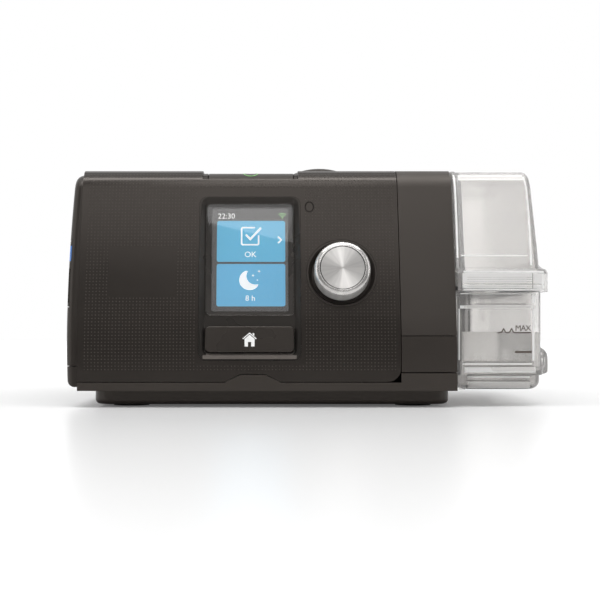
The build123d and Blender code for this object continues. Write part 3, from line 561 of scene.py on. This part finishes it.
def lettering(name, words, height, middle, low, high, place, spacing=1.0):
    # plain letters, a closed slab each; height is that of a capital, 0.7 of the size of the type
    curve = bpy.data.curves.new(name, "FONT")
    curve.body = words
    curve.size = height / 0.7
    curve.align_x = "CENTER"
    curve.space_character = spacing
    curve.extrude = (high - low) / 2
    curve.resolution_u = 3
    data = plainMesh(newPiece(name, curve))
    bpy.data.curves.remove(curve)
    data.transform(place @ Matrix.Translation((middle[0], middle[1], (low + high) / 2)))
    mesh = bmesh.new()
    mesh.from_mesh(data)
    bpy.data.meshes.remove(data)
    bmesh.ops.remove_doubles(mesh, verts=mesh.verts, dist=1e-7)
    return meshPiece(name, mesh)


# display: what it shows lies on the panel behind the cover glass
screenPlane = planeAt((-25.8, -68.475, 53.7), 14.475)
displayLook = {
    "low": -4.245, "high": -4.215, "print": 0.03, "lift": 0.35, "tileRound": 0.9,
    "tiles": {"displayTileUpper": ((-13.8, 7.0, 14.7, 25.0), "tileBlue"),
              "displayTileLower": ((-13.8, -12.2, 14.7, 6.1), "tileBlueLow")},
    "lines": {"displayBoxIcon": ([(2.0, 22.0), (-3.1, 22.0), (-3.5, 21.6), (-3.5, 14.9), (-3.1, 14.5),
                                  (3.2, 14.5), (3.6, 14.9), (3.6, 18.6)], 0.62),
              "displayTickIcon": ([(-1.7, 18.9), (0.1, 16.9), (4.6, 21.9)], 0.85),
              "displayChevron": ([(11.7, 18.0), (13.1, 16.6), (11.7, 15.2)], 0.6)},
    "words": {"displayClock": ("22:30", 2.3, (-9.9, 26.0), "headerWhite"),
              "displayCaptionUpper": ("OK", 2.4, (0.2, 9.1), "iconWhite"),
              "displayCaptionLower": ("8 h", 2.3, (0.2, -9.8), "iconWhite")},
    "moonCentre": (-0.1, -0.9), "moonRadius": 4.3, "moonTurn": (112, 318),
    "shadowShift": (2.35, 1.75), "shadowShare": 0.86, "shadowTurn": (314, 136),
    "stars": ((1.3, 1.1, 0.55), (3.8, 2.9, 0.62), (3.1, -0.9, 0.38)),
    "signalCentre": (13.5, 26.1), "signalWaves": (0.85, 1.55, 2.25), "signalLine": 0.28, "signalDot": 0.3,
}


def starOutline(x, y, size):
    points = []
    for i in range(8):
        reach = size if i % 2 == 0 else size * 0.5
        angle = math.radians(90 + 45 * i)
        points.append((x + reach * math.cos(angle), y + reach * math.sin(angle)))
    return points


def moonOutline(look):
    # a disc less the disc that shadows it, joined where the two circles meet
    x, y = look["moonCentre"]
    radius = look["moonRadius"]
    right, up = look["shadowShift"]
    outer = arcPoints((x, y), radius, *look["moonTurn"], 26)
    inner = arcPoints((x + right, y + up), radius * look["shadowShare"], *look["shadowTurn"], 22)
    return outer + [p for p in inner if math.dist(p, (x, y)) < radius * 0.999]


def makeDisplay(look):
    place = screenPlane @ Matrix.Translation((0, look["lift"], 0))
    low, high = look["low"], look["high"]
    printed = high + look["print"]

    def show(piece, finish="iconWhite"):
        finishPiece(piece, "machine", finish)

    for name, (box, finish) in look["tiles"].items():
        show(slabs(name, [roundedOutline(*box, look["tileRound"])], low, high, place), finish)
    for name, (line, width) in look["lines"].items():
        show(strokes(name, [line], width, high, printed, place))
    stars = [starOutline(*star) for star in look["stars"]]
    show(slabs("displayMoonIcon", [moonOutline(look)] + stars, high, printed, place))
    for name, (words, height, middle, finish) in look["words"].items():
        show(lettering(name, words, height, middle, high, printed, place), finish)
    x, y = look["signalCentre"]
    waves = [arcPoints((x, y), radius, 45, 135, 10) for radius in look["signalWaves"]]
    show(strokes("displaySignalWaves", waves, look["signalLine"], low, high, place), "signalGreen")
    dot = arcPoints((x, y + 0.2), look["signalDot"], 0, 324, 9)
    show(slabs("displaySignalDot", [dot], low, high, place), "signalGreen")


makeDisplay(displayLook)
print("display drawn")


# home key: a house printed on the key
homeLook = {
    "low": -1.42, "high": -1.36, "roofLine": 0.42,
    "roof": [(-2.75, -26.2), (0.0, -23.75), (2.75, -26.2)],
    "walls": [(-2.05, -29.4), (-0.65, -29.4), (-0.65, -27.5), (0.65, -27.5), (0.65, -29.4), (2.05, -29.4),
              (2.05, -26.2), (0.0, -24.45), (-2.05, -26.2)],
    "chimney": [(1.25, -24.4), (1.25, -23.7), (1.95, -23.9), (1.95, -25.0)],
}


def makeHomeIcon(look):
    low, high = look["low"], look["high"]
    finishPiece(strokes("homeRoof", [look["roof"]], look["roofLine"], low, high, screenPlane), "home_key",
                "homeWhite")
    finishPiece(slabs("homeWalls", [look["walls"], look["chimney"]], low, high, screenPlane), "home_key",
                "homeWhite")


makeHomeIcon(homeLook)
print("home key printed")


# raised dots of the front panel: a grid thrown onto the panel's face, with bare places left out
dotLook = {
    "pitch": 1.38, "radius": 0.27, "height": 0.11, "left": -93.0, "right": 33.6, "low": 15.5, "high": 97.3,
    "start": -95.0, "reach": 60, "sides": 8, "topShare": 0.5,
    "bareBoxes": {"bareBadge": (-84.5, -56.6, 45.5, 66.2), "screenFrame": (-48.2, -3.4, 17.5, 90.6),
                  "startRecess": (-46.6, -2.6, 94.1, 99.0)},
    "bareRounds": {"dialWell": (12.1, 55.1, 15.2), "lightSensor": (-1.0, 83.1, 2.6)},
}


def startGroup(name, inputs):
    # a tree with the named inputs, which ends in real geometry with its finish
    group = bpy.data.node_groups.new(name, "GeometryNodeTree")
    for direction in ("INPUT", "OUTPUT"):
        group.interface.new_socket(name="Geometry", in_out=direction, socket_type="NodeSocketGeometry")
    for label, kind in inputs.items():
        group.interface.new_socket(name=label, in_out="INPUT", socket_type="NodeSocket" + kind)
    given = group.nodes.new("NodeGroupInput").outputs
    real = group.nodes.new("GeometryNodeRealizeInstances")
    paint = group.nodes.new("GeometryNodeSetMaterial")
    result = group.nodes.new("NodeGroupOutput")
    group.links.new(real.outputs["Geometry"], paint.inputs["Geometry"])
    group.links.new(given["Finish"], paint.inputs["Material"])
    group.links.new(paint.outputs["Geometry"], result.inputs["Geometry"])
    return group, given, real.inputs["Geometry"]


def grow(name, group, values):
    # runs a node tree on an empty mesh and returns a plain piece
    holder = newPiece(name + "Holder", bpy.data.meshes.new(name + "Holder"))
    modifier = holder.modifiers.new(name, "NODES")
    modifier.node_group = group
    for item in group.interface.items_tree:
        if item.in_out == "INPUT" and item.name in values:
            modifier[item.identifier] = values[item.name]
    return newPiece(name, plainMesh(holder))


def dotTree(look):
    group, given, made = startGroup("panelDots", {"Panel": "Object", "Pitch": "Float", "Dot Radius": "Float",
                                                  "Dot Height": "Float", "Finish": "Material"})
    add, link = group.nodes.new, group.links.new
    across, up = (look["right"] - look["left"]) * mm, (look["high"] - look["low"]) * mm

    grid = add("GeometryNodeMeshGrid")
    grid.inputs["Size X"].default_value = across
    grid.inputs["Size Y"].default_value = up
    for axis, size in (("X", across), ("Y", up)):
        steps = mathNode(group, "FLOOR", mathNode(group, "DIVIDE", size, given["Pitch"]))
        link(mathNode(group, "ADD", steps, 1), grid.inputs["Vertices " + axis])
    stand = add("GeometryNodeTransform")
    link(grid.outputs["Mesh"], stand.inputs["Geometry"])
    stand.inputs["Rotation"].default_value = (math.radians(90), 0, 0)
    stand.inputs["Translation"].default_value = ((look["left"] + look["right"]) / 2 * mm, look["start"] * mm,
                                                 (look["low"] + look["high"]) / 2 * mm)
    panel = add("GeometryNodeObjectInfo")
    link(given["Panel"], panel.inputs["Object"])
    throw = add("GeometryNodeRaycast")
    link(panel.outputs["Geometry"], throw.inputs["Target Geometry"])
    throw.inputs["Ray Direction"].default_value = (0, 1, 0)
    throw.inputs["Ray Length"].default_value = look["reach"] * mm
    place = add("GeometryNodeInputPosition")
    parts = add("ShaderNodeSeparateXYZ")
    link(place.outputs["Position"], parts.inputs["Vector"])
    x, z = parts.outputs["X"], parts.outputs["Z"]

    bare = None
    for left, right, low, high in look["bareBoxes"].values():
        inside = None
        for value, side, operation in ((x, left, "GREATER_THAN"), (x, right, "LESS_THAN"),
                                       (z, low, "GREATER_THAN"), (z, high, "LESS_THAN")):
            test = mathNode(group, operation, value, side * mm)
            inside = test if inside is None else mathNode(group, "MULTIPLY", inside, test)
        bare = inside if bare is None else mathNode(group, "MAXIMUM", bare, inside)
    for middleX, middleZ, radius in look["bareRounds"].values():
        dx = mathNode(group, "SUBTRACT", x, middleX * mm)
        dz = mathNode(group, "SUBTRACT", z, middleZ * mm)
        far = mathNode(group, "ADD", mathNode(group, "MULTIPLY", dx, dx), mathNode(group, "MULTIPLY", dz, dz))
        bare = mathNode(group, "MAXIMUM", bare, mathNode(group, "LESS_THAN", far, (radius * mm) ** 2))
    missed = mathNode(group, "MAXIMUM", mathNode(group, "SUBTRACT", 1, throw.outputs["Is Hit"]), bare)

    # the hit places are kept on the points before they move
    keepNormal = add("GeometryNodeStoreNamedAttribute")
    keepNormal.data_type = "FLOAT_VECTOR"
    keepNormal.inputs["Name"].default_value = "faceNormal"
    link(stand.outputs["Geometry"], keepNormal.inputs["Geometry"])
    link(throw.outputs["Hit Normal"], keepNormal.inputs["Value"])
    drop = add("GeometryNodeDeleteGeometry")
    link(keepNormal.outputs["Geometry"], drop.inputs["Geometry"])
    link(missed, drop.inputs["Selection"])
    land = add("GeometryNodeSetPosition")
    link(drop.outputs["Geometry"], land.inputs["Geometry"])
    link(throw.outputs["Hit Position"], land.inputs["Position"])

    dome = add("GeometryNodeMeshCone")
    dome.fill_type = "NGON"
    dome.inputs["Vertices"].default_value = look["sides"]
    dome.inputs["Side Segments"].default_value = 1
    link(mathNode(group, "MULTIPLY", given["Dot Radius"], look["topShare"]), dome.inputs["Radius Top"])
    link(given["Dot Radius"], dome.inputs["Radius Bottom"])
    link(given["Dot Height"], dome.inputs["Depth"])
    facing = add("FunctionNodeAlignEulerToVector")
    facing.axis = "Z"
    saved = add("GeometryNodeInputNamedAttribute")
    saved.data_type = "FLOAT_VECTOR"
    saved.inputs["Name"].default_value = "faceNormal"
    link(saved.outputs["Attribute"], facing.inputs["Vector"])
    scatter = add("GeometryNodeInstanceOnPoints")
    link(land.outputs["Geometry"], scatter.inputs["Points"])
    link(dome.outputs["Mesh"], scatter.inputs["Instance"])
    link(facing.outputs["Rotation"], scatter.inputs["Rotation"])
    link(scatter.outputs["Instances"], made)
    return group


def makeDots(look):
    values = {"Panel": nodes["front_panel"], "Pitch": look["pitch"] * mm, "Dot Radius": look["radius"] * mm,
              "Dot Height": look["height"] * mm, "Finish": finishes["dotPlastic"]}
    dots = grow("panelDots", dotTree(look), values)
    print("panel dots:", len(dots.data.polygons), "faces")
    finishPiece(dots, "machine", "dotPlastic")


makeDots(dotLook)


# the groove turned into the dial's face, drawn as a black ring: painted shade at its bottom
grooveLook = {"radius": 9.125, "width": 0.36, "low": 7.1, "high": 7.35, "steps": 72}


def makeGroove(look):
    place = planeAt(dialLook["centre"], dialLook["tilt"])
    ring = arcPoints((0, 0), look["radius"], 0, 360, look["steps"])[:-1]
    ring.append(ring[0])
    groove = strokes("dialGroove", [ring], look["width"], look["low"], look["high"], place)
    finishPiece(groove, "dial", "paintedGapShade")


makeGroove(grooveLook)


sink = 0.02     # how far a thrown band reaches into the face of its node


# rings pressed onto a face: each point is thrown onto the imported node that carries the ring
ringLooks = {
    "startRing": {"node": "start_button", "body": "start_key", "finish": "ringGreen", "slot": "display",
                  "middle": (-25.6, -49.2, 97.0), "throw": (0, 0, -1), "up": (0, 1, 0),
                  "inner": (2.7, 2.7), "outer": (3.2, 3.2), "rise": 0.08},
    # a black ring round the light sensor's lens: painted shade in its gap
    "sensorRing": {"node": "front_panel", "body": "machine", "finish": "paintedGapShade", "slot": "bezel",
                   "middle": (-1.0, -66.0, 83.1), "throw": (0, 1, 0), "up": (0, 0, 1),
                   "inner": (1.68, 2.08), "outer": (1.92, 2.32), "rise": 0.06},
}


def surfaceOf(name):
    mesh = bmesh.new()
    mesh.from_mesh(nodes[name].data)
    mesh.transform(nodes[name].matrix_world)
    surface = BVHTree.FromBMesh(mesh)
    mesh.free()
    return surface


def makeRing(name, look, steps=48):
    surface = surfaceOf(look["node"])
    throw, up = Vector(look["throw"]), Vector(look["up"])
    middle = Vector(look["middle"]) * mm - throw * 0.1
    mesh = bmesh.new()
    loops = []
    for (wide, high), rise in ((look["outer"], 0), (look["outer"], look["rise"]),
                               (look["inner"], look["rise"]), (look["inner"], 0)):
        loop = []
        for x, y in arcPoints((0, 0), 1, 0, 360, steps)[:-1]:
            start = middle + (Vector((1, 0, 0)) * x * wide + up * y * high) * mm
            hit, normal = surface.ray_cast(start, throw)[:2]
            loop.append(mesh.verts.new(hit + normal * (rise - sink) * mm))
        loops.append(loop)
    bandFaces(mesh, loops, closed=True)
    finishPiece(meshPiece(name, mesh), look["body"], look["finish"])


for name, look in ringLooks.items():
    makeRing(name, look)
print("rings made")


# thin bands thrown onto the node that carries them: painted highlights where edges and folds would catch the
# light, painted shade beside them, and milky bands of whiter plastic; each line given by its points (across,
# up) and its width
traceLooks = {
    # painted highlight along the lower bevel of the screen frame
    "frameSill": {"node": "screen_bezel", "body": "machine", "finish": "paintedSillHighlight", "slot": "bezel",
                  "rise": 0.05, "lines": [
        ([(-44.9, 20.55), (-6.6, 20.55)], 1.5),
        ([(-43.6, 21.6), (-8.0, 21.6)], 0.6)]},
    # painted highlights along the lid's edges and across the top of its dome
    "lidBright": {"node": "tub_lid", "body": "tub_cover", "finish": "paintedEdgeHighlight", "rise": 0.1, "lines": [
        ([(60.15, 97.2), (60.35, 90.4), (60.3, 75.3), (60.1, 61.4)], 0.7),
        ([(89.6, 96.4), (90.3, 90.5), (90.57, 81.6), (90.52, 66.9), (90.45, 58.2)], 0.75),
        ([(62.0, 95.9), (89.2, 95.9)], 2.3),
        ([(61.6, 62.4), (89.2, 62.4)], 0.5),
        ([(61.8, 55.5), (95.6, 55.5)], 0.8),
        ([(61.8, 48.1), (95.4, 48.1)], 0.5),
        ([(95.0, 54.6), (95.0, 48.8)], 0.9)]},
    # painted shade in thin lines beside the lid's edges
    "lidDark": {"node": "tub_lid", "body": "tub_cover", "finish": "paintedEdgeShade", "rise": 0.08, "lines": [
        ([(60.95, 94.8), (60.95, 83.9), (60.85, 70.4), (60.8, 57.6)], 0.4),
        ([(60.2, 54.9), (60.2, 48.0)], 1.0),
        ([(90.3, 54.8), (90.3, 48.6)], 0.35)]},
    "lidMilky": {"node": "tub_lid", "body": "tub_cover", "finish": "edgeMilky", "rise": 0.06, "lines": [
        ([(61.4, 52.8), (95.8, 52.8)], 4.2),
        ([(61.4, 49.4), (95.8, 49.4)], 1.5)]},
    "tubMilky": {"node": "tub_base", "body": "water_tub", "finish": "edgeMilky", "rise": 0.06, "lines": [
        ([(62.6, 15.2), (92.0, 15.2)], 2.2),
        ([(64.6, 8.8), (90.4, 8.8)], 2.6)]},
    # painted highlights along the tub window's edges and ledges
    "tubBright": {"node": "tub_base", "body": "water_tub", "finish": "paintedEdgeHighlight", "rise": 0.1, "lines": [
        ([(60.5, 40.4), (60.5, 19.2)], 0.55),
        ([(60.8, 41.1), (91.4, 41.1)], 1.3),
        ([(91.3, 40.4), (91.3, 18.8)], 0.85),
        ([(91.3, 46.0), (91.3, 42.2)], 1.3),
        ([(61.0, 46.6), (92.8, 46.6)], 0.45),
        ([(64.2, 12.2), (90.0, 12.2)], 0.7),
        ([(61.9, 17.6), (90.6, 17.6)], 0.6)]},
    # painted shade in thin lines beside the tub window's edges and ledges
    "tubDark": {"node": "tub_base", "body": "water_tub", "finish": "paintedEdgeShade", "rise": 0.08, "lines": [
        ([(61.25, 40.4), (61.25, 19.2)], 0.6),
        ([(66.9, 42.3), (88.3, 42.3)], 0.4),
        ([(62.0, 18.4), (91.2, 18.4)], 0.5),
        ([(62.2, 16.7), (91.6, 16.7)], 0.4),
        ([(63.8, 13.2), (92.0, 13.2)], 0.7),
        ([(64.2, 10.7), (89.8, 10.7)], 0.4),
        ([(63.2, 46.2), (63.2, 41.9)], 0.6)]},
}


def makeTraces(looks, stepLength=1.5, front=-100):
    for name, look in looks.items():
        surface = surfaceOf(look["node"])
        mesh = bmesh.new()
        for line, width in look["lines"]:
            points = []
            for a, b in zip(line, line[1:]):
                pieces = max(1, round((Vector(b) - Vector(a)).length / stepLength))
                points += [tuple(Vector(a).lerp(Vector(b), i / pieces)) for i in range(pieces)]
            left, right = strokeOutline(points + [line[-1]], width)
            stations = []
            for a, b in zip(left, right):
                corners = []
                for (x, z), rise in ((a, -sink), (a, look["rise"]), (b, look["rise"]), (b, -sink)):
                    hit, normal = surface.ray_cast(Vector((x, front, z)) * mm, Vector((0, 1, 0)))[:2]
                    corners.append(mesh.verts.new(hit + normal * rise * mm))
                stations.append(corners)
            bandFaces(mesh, stations)
            mesh.faces.new(stations[0])
            mesh.faces.new(stations[-1][::-1])
        finishPiece(meshPiece(name, mesh), look["body"], look["finish"])


makeTraces(traceLooks)
print("tub edges traced")


# level marks printed on the tub's window
markLook = {
    "front": (0, -67.1, 0), "low": -0.02, "high": 0.04,
    "level": 30.5, "levelSpan": (76.4, 90.1), "levelLine": 0.42, "crests": (78.95, 82.25),
    "crestShape": ((-1.1, 0), (-0.75, 0.25), (-0.22, 1.3), (0, 1.6), (0.22, 1.3), (0.75, 0.25), (1.1, 0)),
    "lowMark": 22.5, "lowSpan": (83.7, 90.6), "lowLine": 0.75,
    "word": ("MAX", 2.3, (87.0, 31.3)), "wordSpacing": 0.86,
}


def makeTubMarks(look):
    low, high, level = look["low"], look["high"], look["level"]
    place = planeAt(look["front"], 0)
    wave = [(look["levelSpan"][0], level)]
    for crest in look["crests"]:
        wave += [(crest + away, level + up) for away, up in look["crestShape"]]
    wave.append((look["levelSpan"][1], level))
    lower = [(x, look["lowMark"]) for x in look["lowSpan"]]
    for piece in (strokes("waterLine", [wave], look["levelLine"], low, high, place),
                  strokes("lowMark", [lower], look["lowLine"], low, high, place),
                  lettering("levelWord", *look["word"], low, high, place, look["wordSpacing"])):
        finishPiece(piece, "water_tub", "printBrown")


makeTubMarks(markLook)


# water up to the mark: three overlapping blocks of the tub's hollow,
# each given as left, front, right, back, floor and corner radius
waterLook = {"level": 30.9, "trayTop": 15.0,
             "parts": {"outerWater": (61.75, -65.85, 93.55, 59.85, 14.8, 7),
                       "trayWater": (61.75, -64.65, 92.35, 58.65, 9.25, 6),
                       "innerWater": (3.15, -47.85, 70.0, 47.85, 15.75, 4)}}


def makeWater(look):
    parts = []
    for name, (left, front, right, back, floor, radius) in look["parts"].items():
        top = look["trayTop"] if name == "trayWater" else look["level"]
        parts.append(slabs(name, [roundedOutline(left, front, right, back, radius)], floor, top,
                           Matrix.Scale(mm, 4)))
    water = parts[0]
    for other in parts[1:]:
        join = water.modifiers.new("join", "BOOLEAN")
        join.operation = "UNION"
        join.object = other
    finishPiece(newPiece("tubWater", plainMesh(water)), "water_tub", "water")
    for other in parts[1:]:
        bpy.data.objects.remove(other)


makeWater(waterLook)
print("tub marked and filled")


# rows of rounded bars: ridges on the lid's lip, louvres of the filter cover
barLooks = {
    "lipRidges": {"Count": 6, "Start": (76.6, -71.0, 48.6), "Step": (0, 0, 0.92), "Length": 26.8,
                  "Height": 0.34, "Depth": 0.24, "body": "tub_cover", "finish": "lidClear",
                  "slot": "clear_tub"},
    "filterLouvres": {"Count": 13, "Start": (-68.2, 72.0, 38.4), "Step": (0, 0, 3.1), "Length": 29.0,
                      "Height": 1.5, "Depth": 0.9, "body": "filter_flap", "finish": "casingPlastic",
                      "slot": "casing"},
}


def barTree(sides=12):
    group, given, made = startGroup("barRow", {"Count": "Int", "Start": "Vector", "Step": "Vector",
                                               "Length": "Float", "Height": "Float", "Depth": "Float",
                                               "Finish": "Material"})
    add, link = group.nodes.new, group.links.new
    row = add("GeometryNodeMeshLine")
    row.mode = "OFFSET"
    link(given["Count"], row.inputs["Count"])
    link(given["Start"], row.inputs["Start Location"])
    link(given["Step"], row.inputs["Offset"])
    bar = add("GeometryNodeMeshCylinder")
    bar.inputs["Vertices"].default_value = sides
    bar.inputs["Radius"].default_value = 0.5
    bar.inputs["Depth"].default_value = 1
    shape = add("ShaderNodeCombineXYZ")
    for axis, name in (("X", "Height"), ("Y", "Depth"), ("Z", "Length")):
        link(given[name], shape.inputs[axis])
    lay = add("GeometryNodeTransform")
    link(bar.outputs["Mesh"], lay.inputs["Geometry"])
    link(shape.outputs["Vector"], lay.inputs["Scale"])
    lay.inputs["Rotation"].default_value = (0, math.radians(90), 0)
    scatter = add("GeometryNodeInstanceOnPoints")
    link(row.outputs["Mesh"], scatter.inputs["Points"])
    link(lay.outputs["Geometry"], scatter.inputs["Instance"])
    link(scatter.outputs["Instances"], made)
    return group


def makeBars(looks):
    group = barTree()
    for name, look in looks.items():
        values = {"Count": look["Count"], "Finish": finishes[look["finish"]]}
        values.update({key: [part * mm for part in look[key]] for key in ("Start", "Step")})
        values.update({key: look[key] * mm for key in ("Length", "Height", "Depth")})
        finishPiece(grow(name, group, values), look["body"], look["finish"])


makeBars(barLooks)
print("bars set")


# studio: white floor that keeps the shadow, white surround, soft boxes
stageLook = {"floorSize": 6.0, "floorColour": (0.8, 0.8, 0.8), "floorRoughness": 0.3, "floorLift": (0.1, 0.5),
             "liftSpan": (0.15, 0.85), "surround": 0.52, "gloss": (0.26, 1.0), "glossSpan": (-0.6, 0.25)}
softBoxes = {
    "keyBox": {"place": (-0.05, -1.25, 1.11), "aim": (0, -0.07, 0.06), "size": (0.95, 0.42), "power": 1.9,
               "turn": -12},
    "topBox": {"place": (0.0, -0.22, 1.3), "aim": (0, -0.05, 0.05), "size": (1.5, 0.3), "power": 9,
               "turn": 0},
    "browBox": {"place": (0.0, -0.75, 1.25), "aim": (0, -0.05, 0.08), "size": (0.35, 0.4), "power": 1.6,
                "turn": 0},
    "leftStrip": {"place": (-1.2, -0.5, 0.5), "aim": (0, 0, 0.06), "size": (0.4, 1.0), "power": 1.6,
                  "turn": 0},
    "rightStrip": {"place": (1.25, -0.3, 0.55), "aim": (0.05, 0, 0.06), "size": (0.4, 1.0), "power": 1.6,
                   "turn": 0},
}


def addStage(look):
    half = look["floorSize"] / 2
    mesh = bpy.data.meshes.new("studioFloor")
    corners = [(-half, -half, 0), (half, -half, 0), (half, half, 0), (-half, half, 0)]
    mesh.from_pydata(corners, [], [(0, 1, 2, 3)])
    material, tree, shader, coords = startMaterial("studioFloor")
    shader.inputs["Base Color"].default_value = look["floorColour"] + (1,)
    shader.inputs["Roughness"].default_value = look["floorRoughness"]
    path = tree.nodes.new("ShaderNodeLightPath").outputs
    seen = mathNode(tree, "MAXIMUM", path["Is Camera Ray"], path["Is Transmission Ray"])
    # the floor grows whiter away from the machine
    away = mathNode(tree, "LENGTH", coords, None, "ShaderNodeVectorMath")
    lift = mathNode(tree, "MULTIPLY", seen, spread(tree, away, *look["floorLift"], *look["liftSpan"]))
    tree.links.new(lift, shader.inputs["Emission Strength"])
    shader.inputs["Emission Color"].default_value = (1, 1, 1, 1)
    mesh.materials.append(material)
    newPiece("studioFloor", mesh)


def addSurround(look):
    world = bpy.data.worlds.new("studioSurround")
    bpy.context.scene.world = world
    world.use_nodes = True
    tree = world.node_tree
    ground = tree.nodes["Background"]
    ground.inputs["Color"].default_value = (1, 1, 1, 1)
    path = tree.nodes.new("ShaderNodeLightPath")
    # the room in front of the machine is dimmer than the white behind it
    towards = tree.nodes.new("ShaderNodeTexCoord")
    parts = tree.nodes.new("ShaderNodeSeparateXYZ")
    tree.links.new(towards.outputs["Generated"], parts.inputs["Vector"])
    room = spread(tree, parts.outputs["Y"], *look["gloss"], *look["glossSpan"])

    def choose(when, yes, no):
        node = tree.nodes.new("ShaderNodeMix")
        tree.links.new(when, node.inputs["Factor"])
        for key, value in (("A", no), ("B", yes)):
            if isinstance(value, float):
                node.inputs[key].default_value = value
            else:
                tree.links.new(value, node.inputs[key])
        return node.outputs["Result"]

    level = choose(path.outputs["Is Glossy Ray"], room, look["surround"])
    level = choose(path.outputs["Is Transmission Ray"], 1.0, level)
    level = choose(path.outputs["Is Camera Ray"], 1.0, level)
    tree.links.new(level, ground.inputs["Strength"])


def addSoftBoxes(boxes):
    for name, look in boxes.items():
        data = bpy.data.lights.new(name, "AREA")
        data.shape = "RECTANGLE"
        data.size, data.size_y = look["size"]
        data.energy = look["power"]
        lamp = newPiece(name, data)
        lamp.location = look["place"]
        aim = Vector(look["aim"]) - lamp.location
        turn = Matrix.Rotation(math.radians(look["turn"]), 3, "Z")
        lamp.rotation_euler = (aim.to_track_quat("-Z", "Y").to_matrix() @ turn).to_euler()


addStage(stageLook)
addSurround(stageLook)
addSoftBoxes(softBoxes)
bpy.context.scene.view_settings.view_transform = "Standard"
print("studio lit")
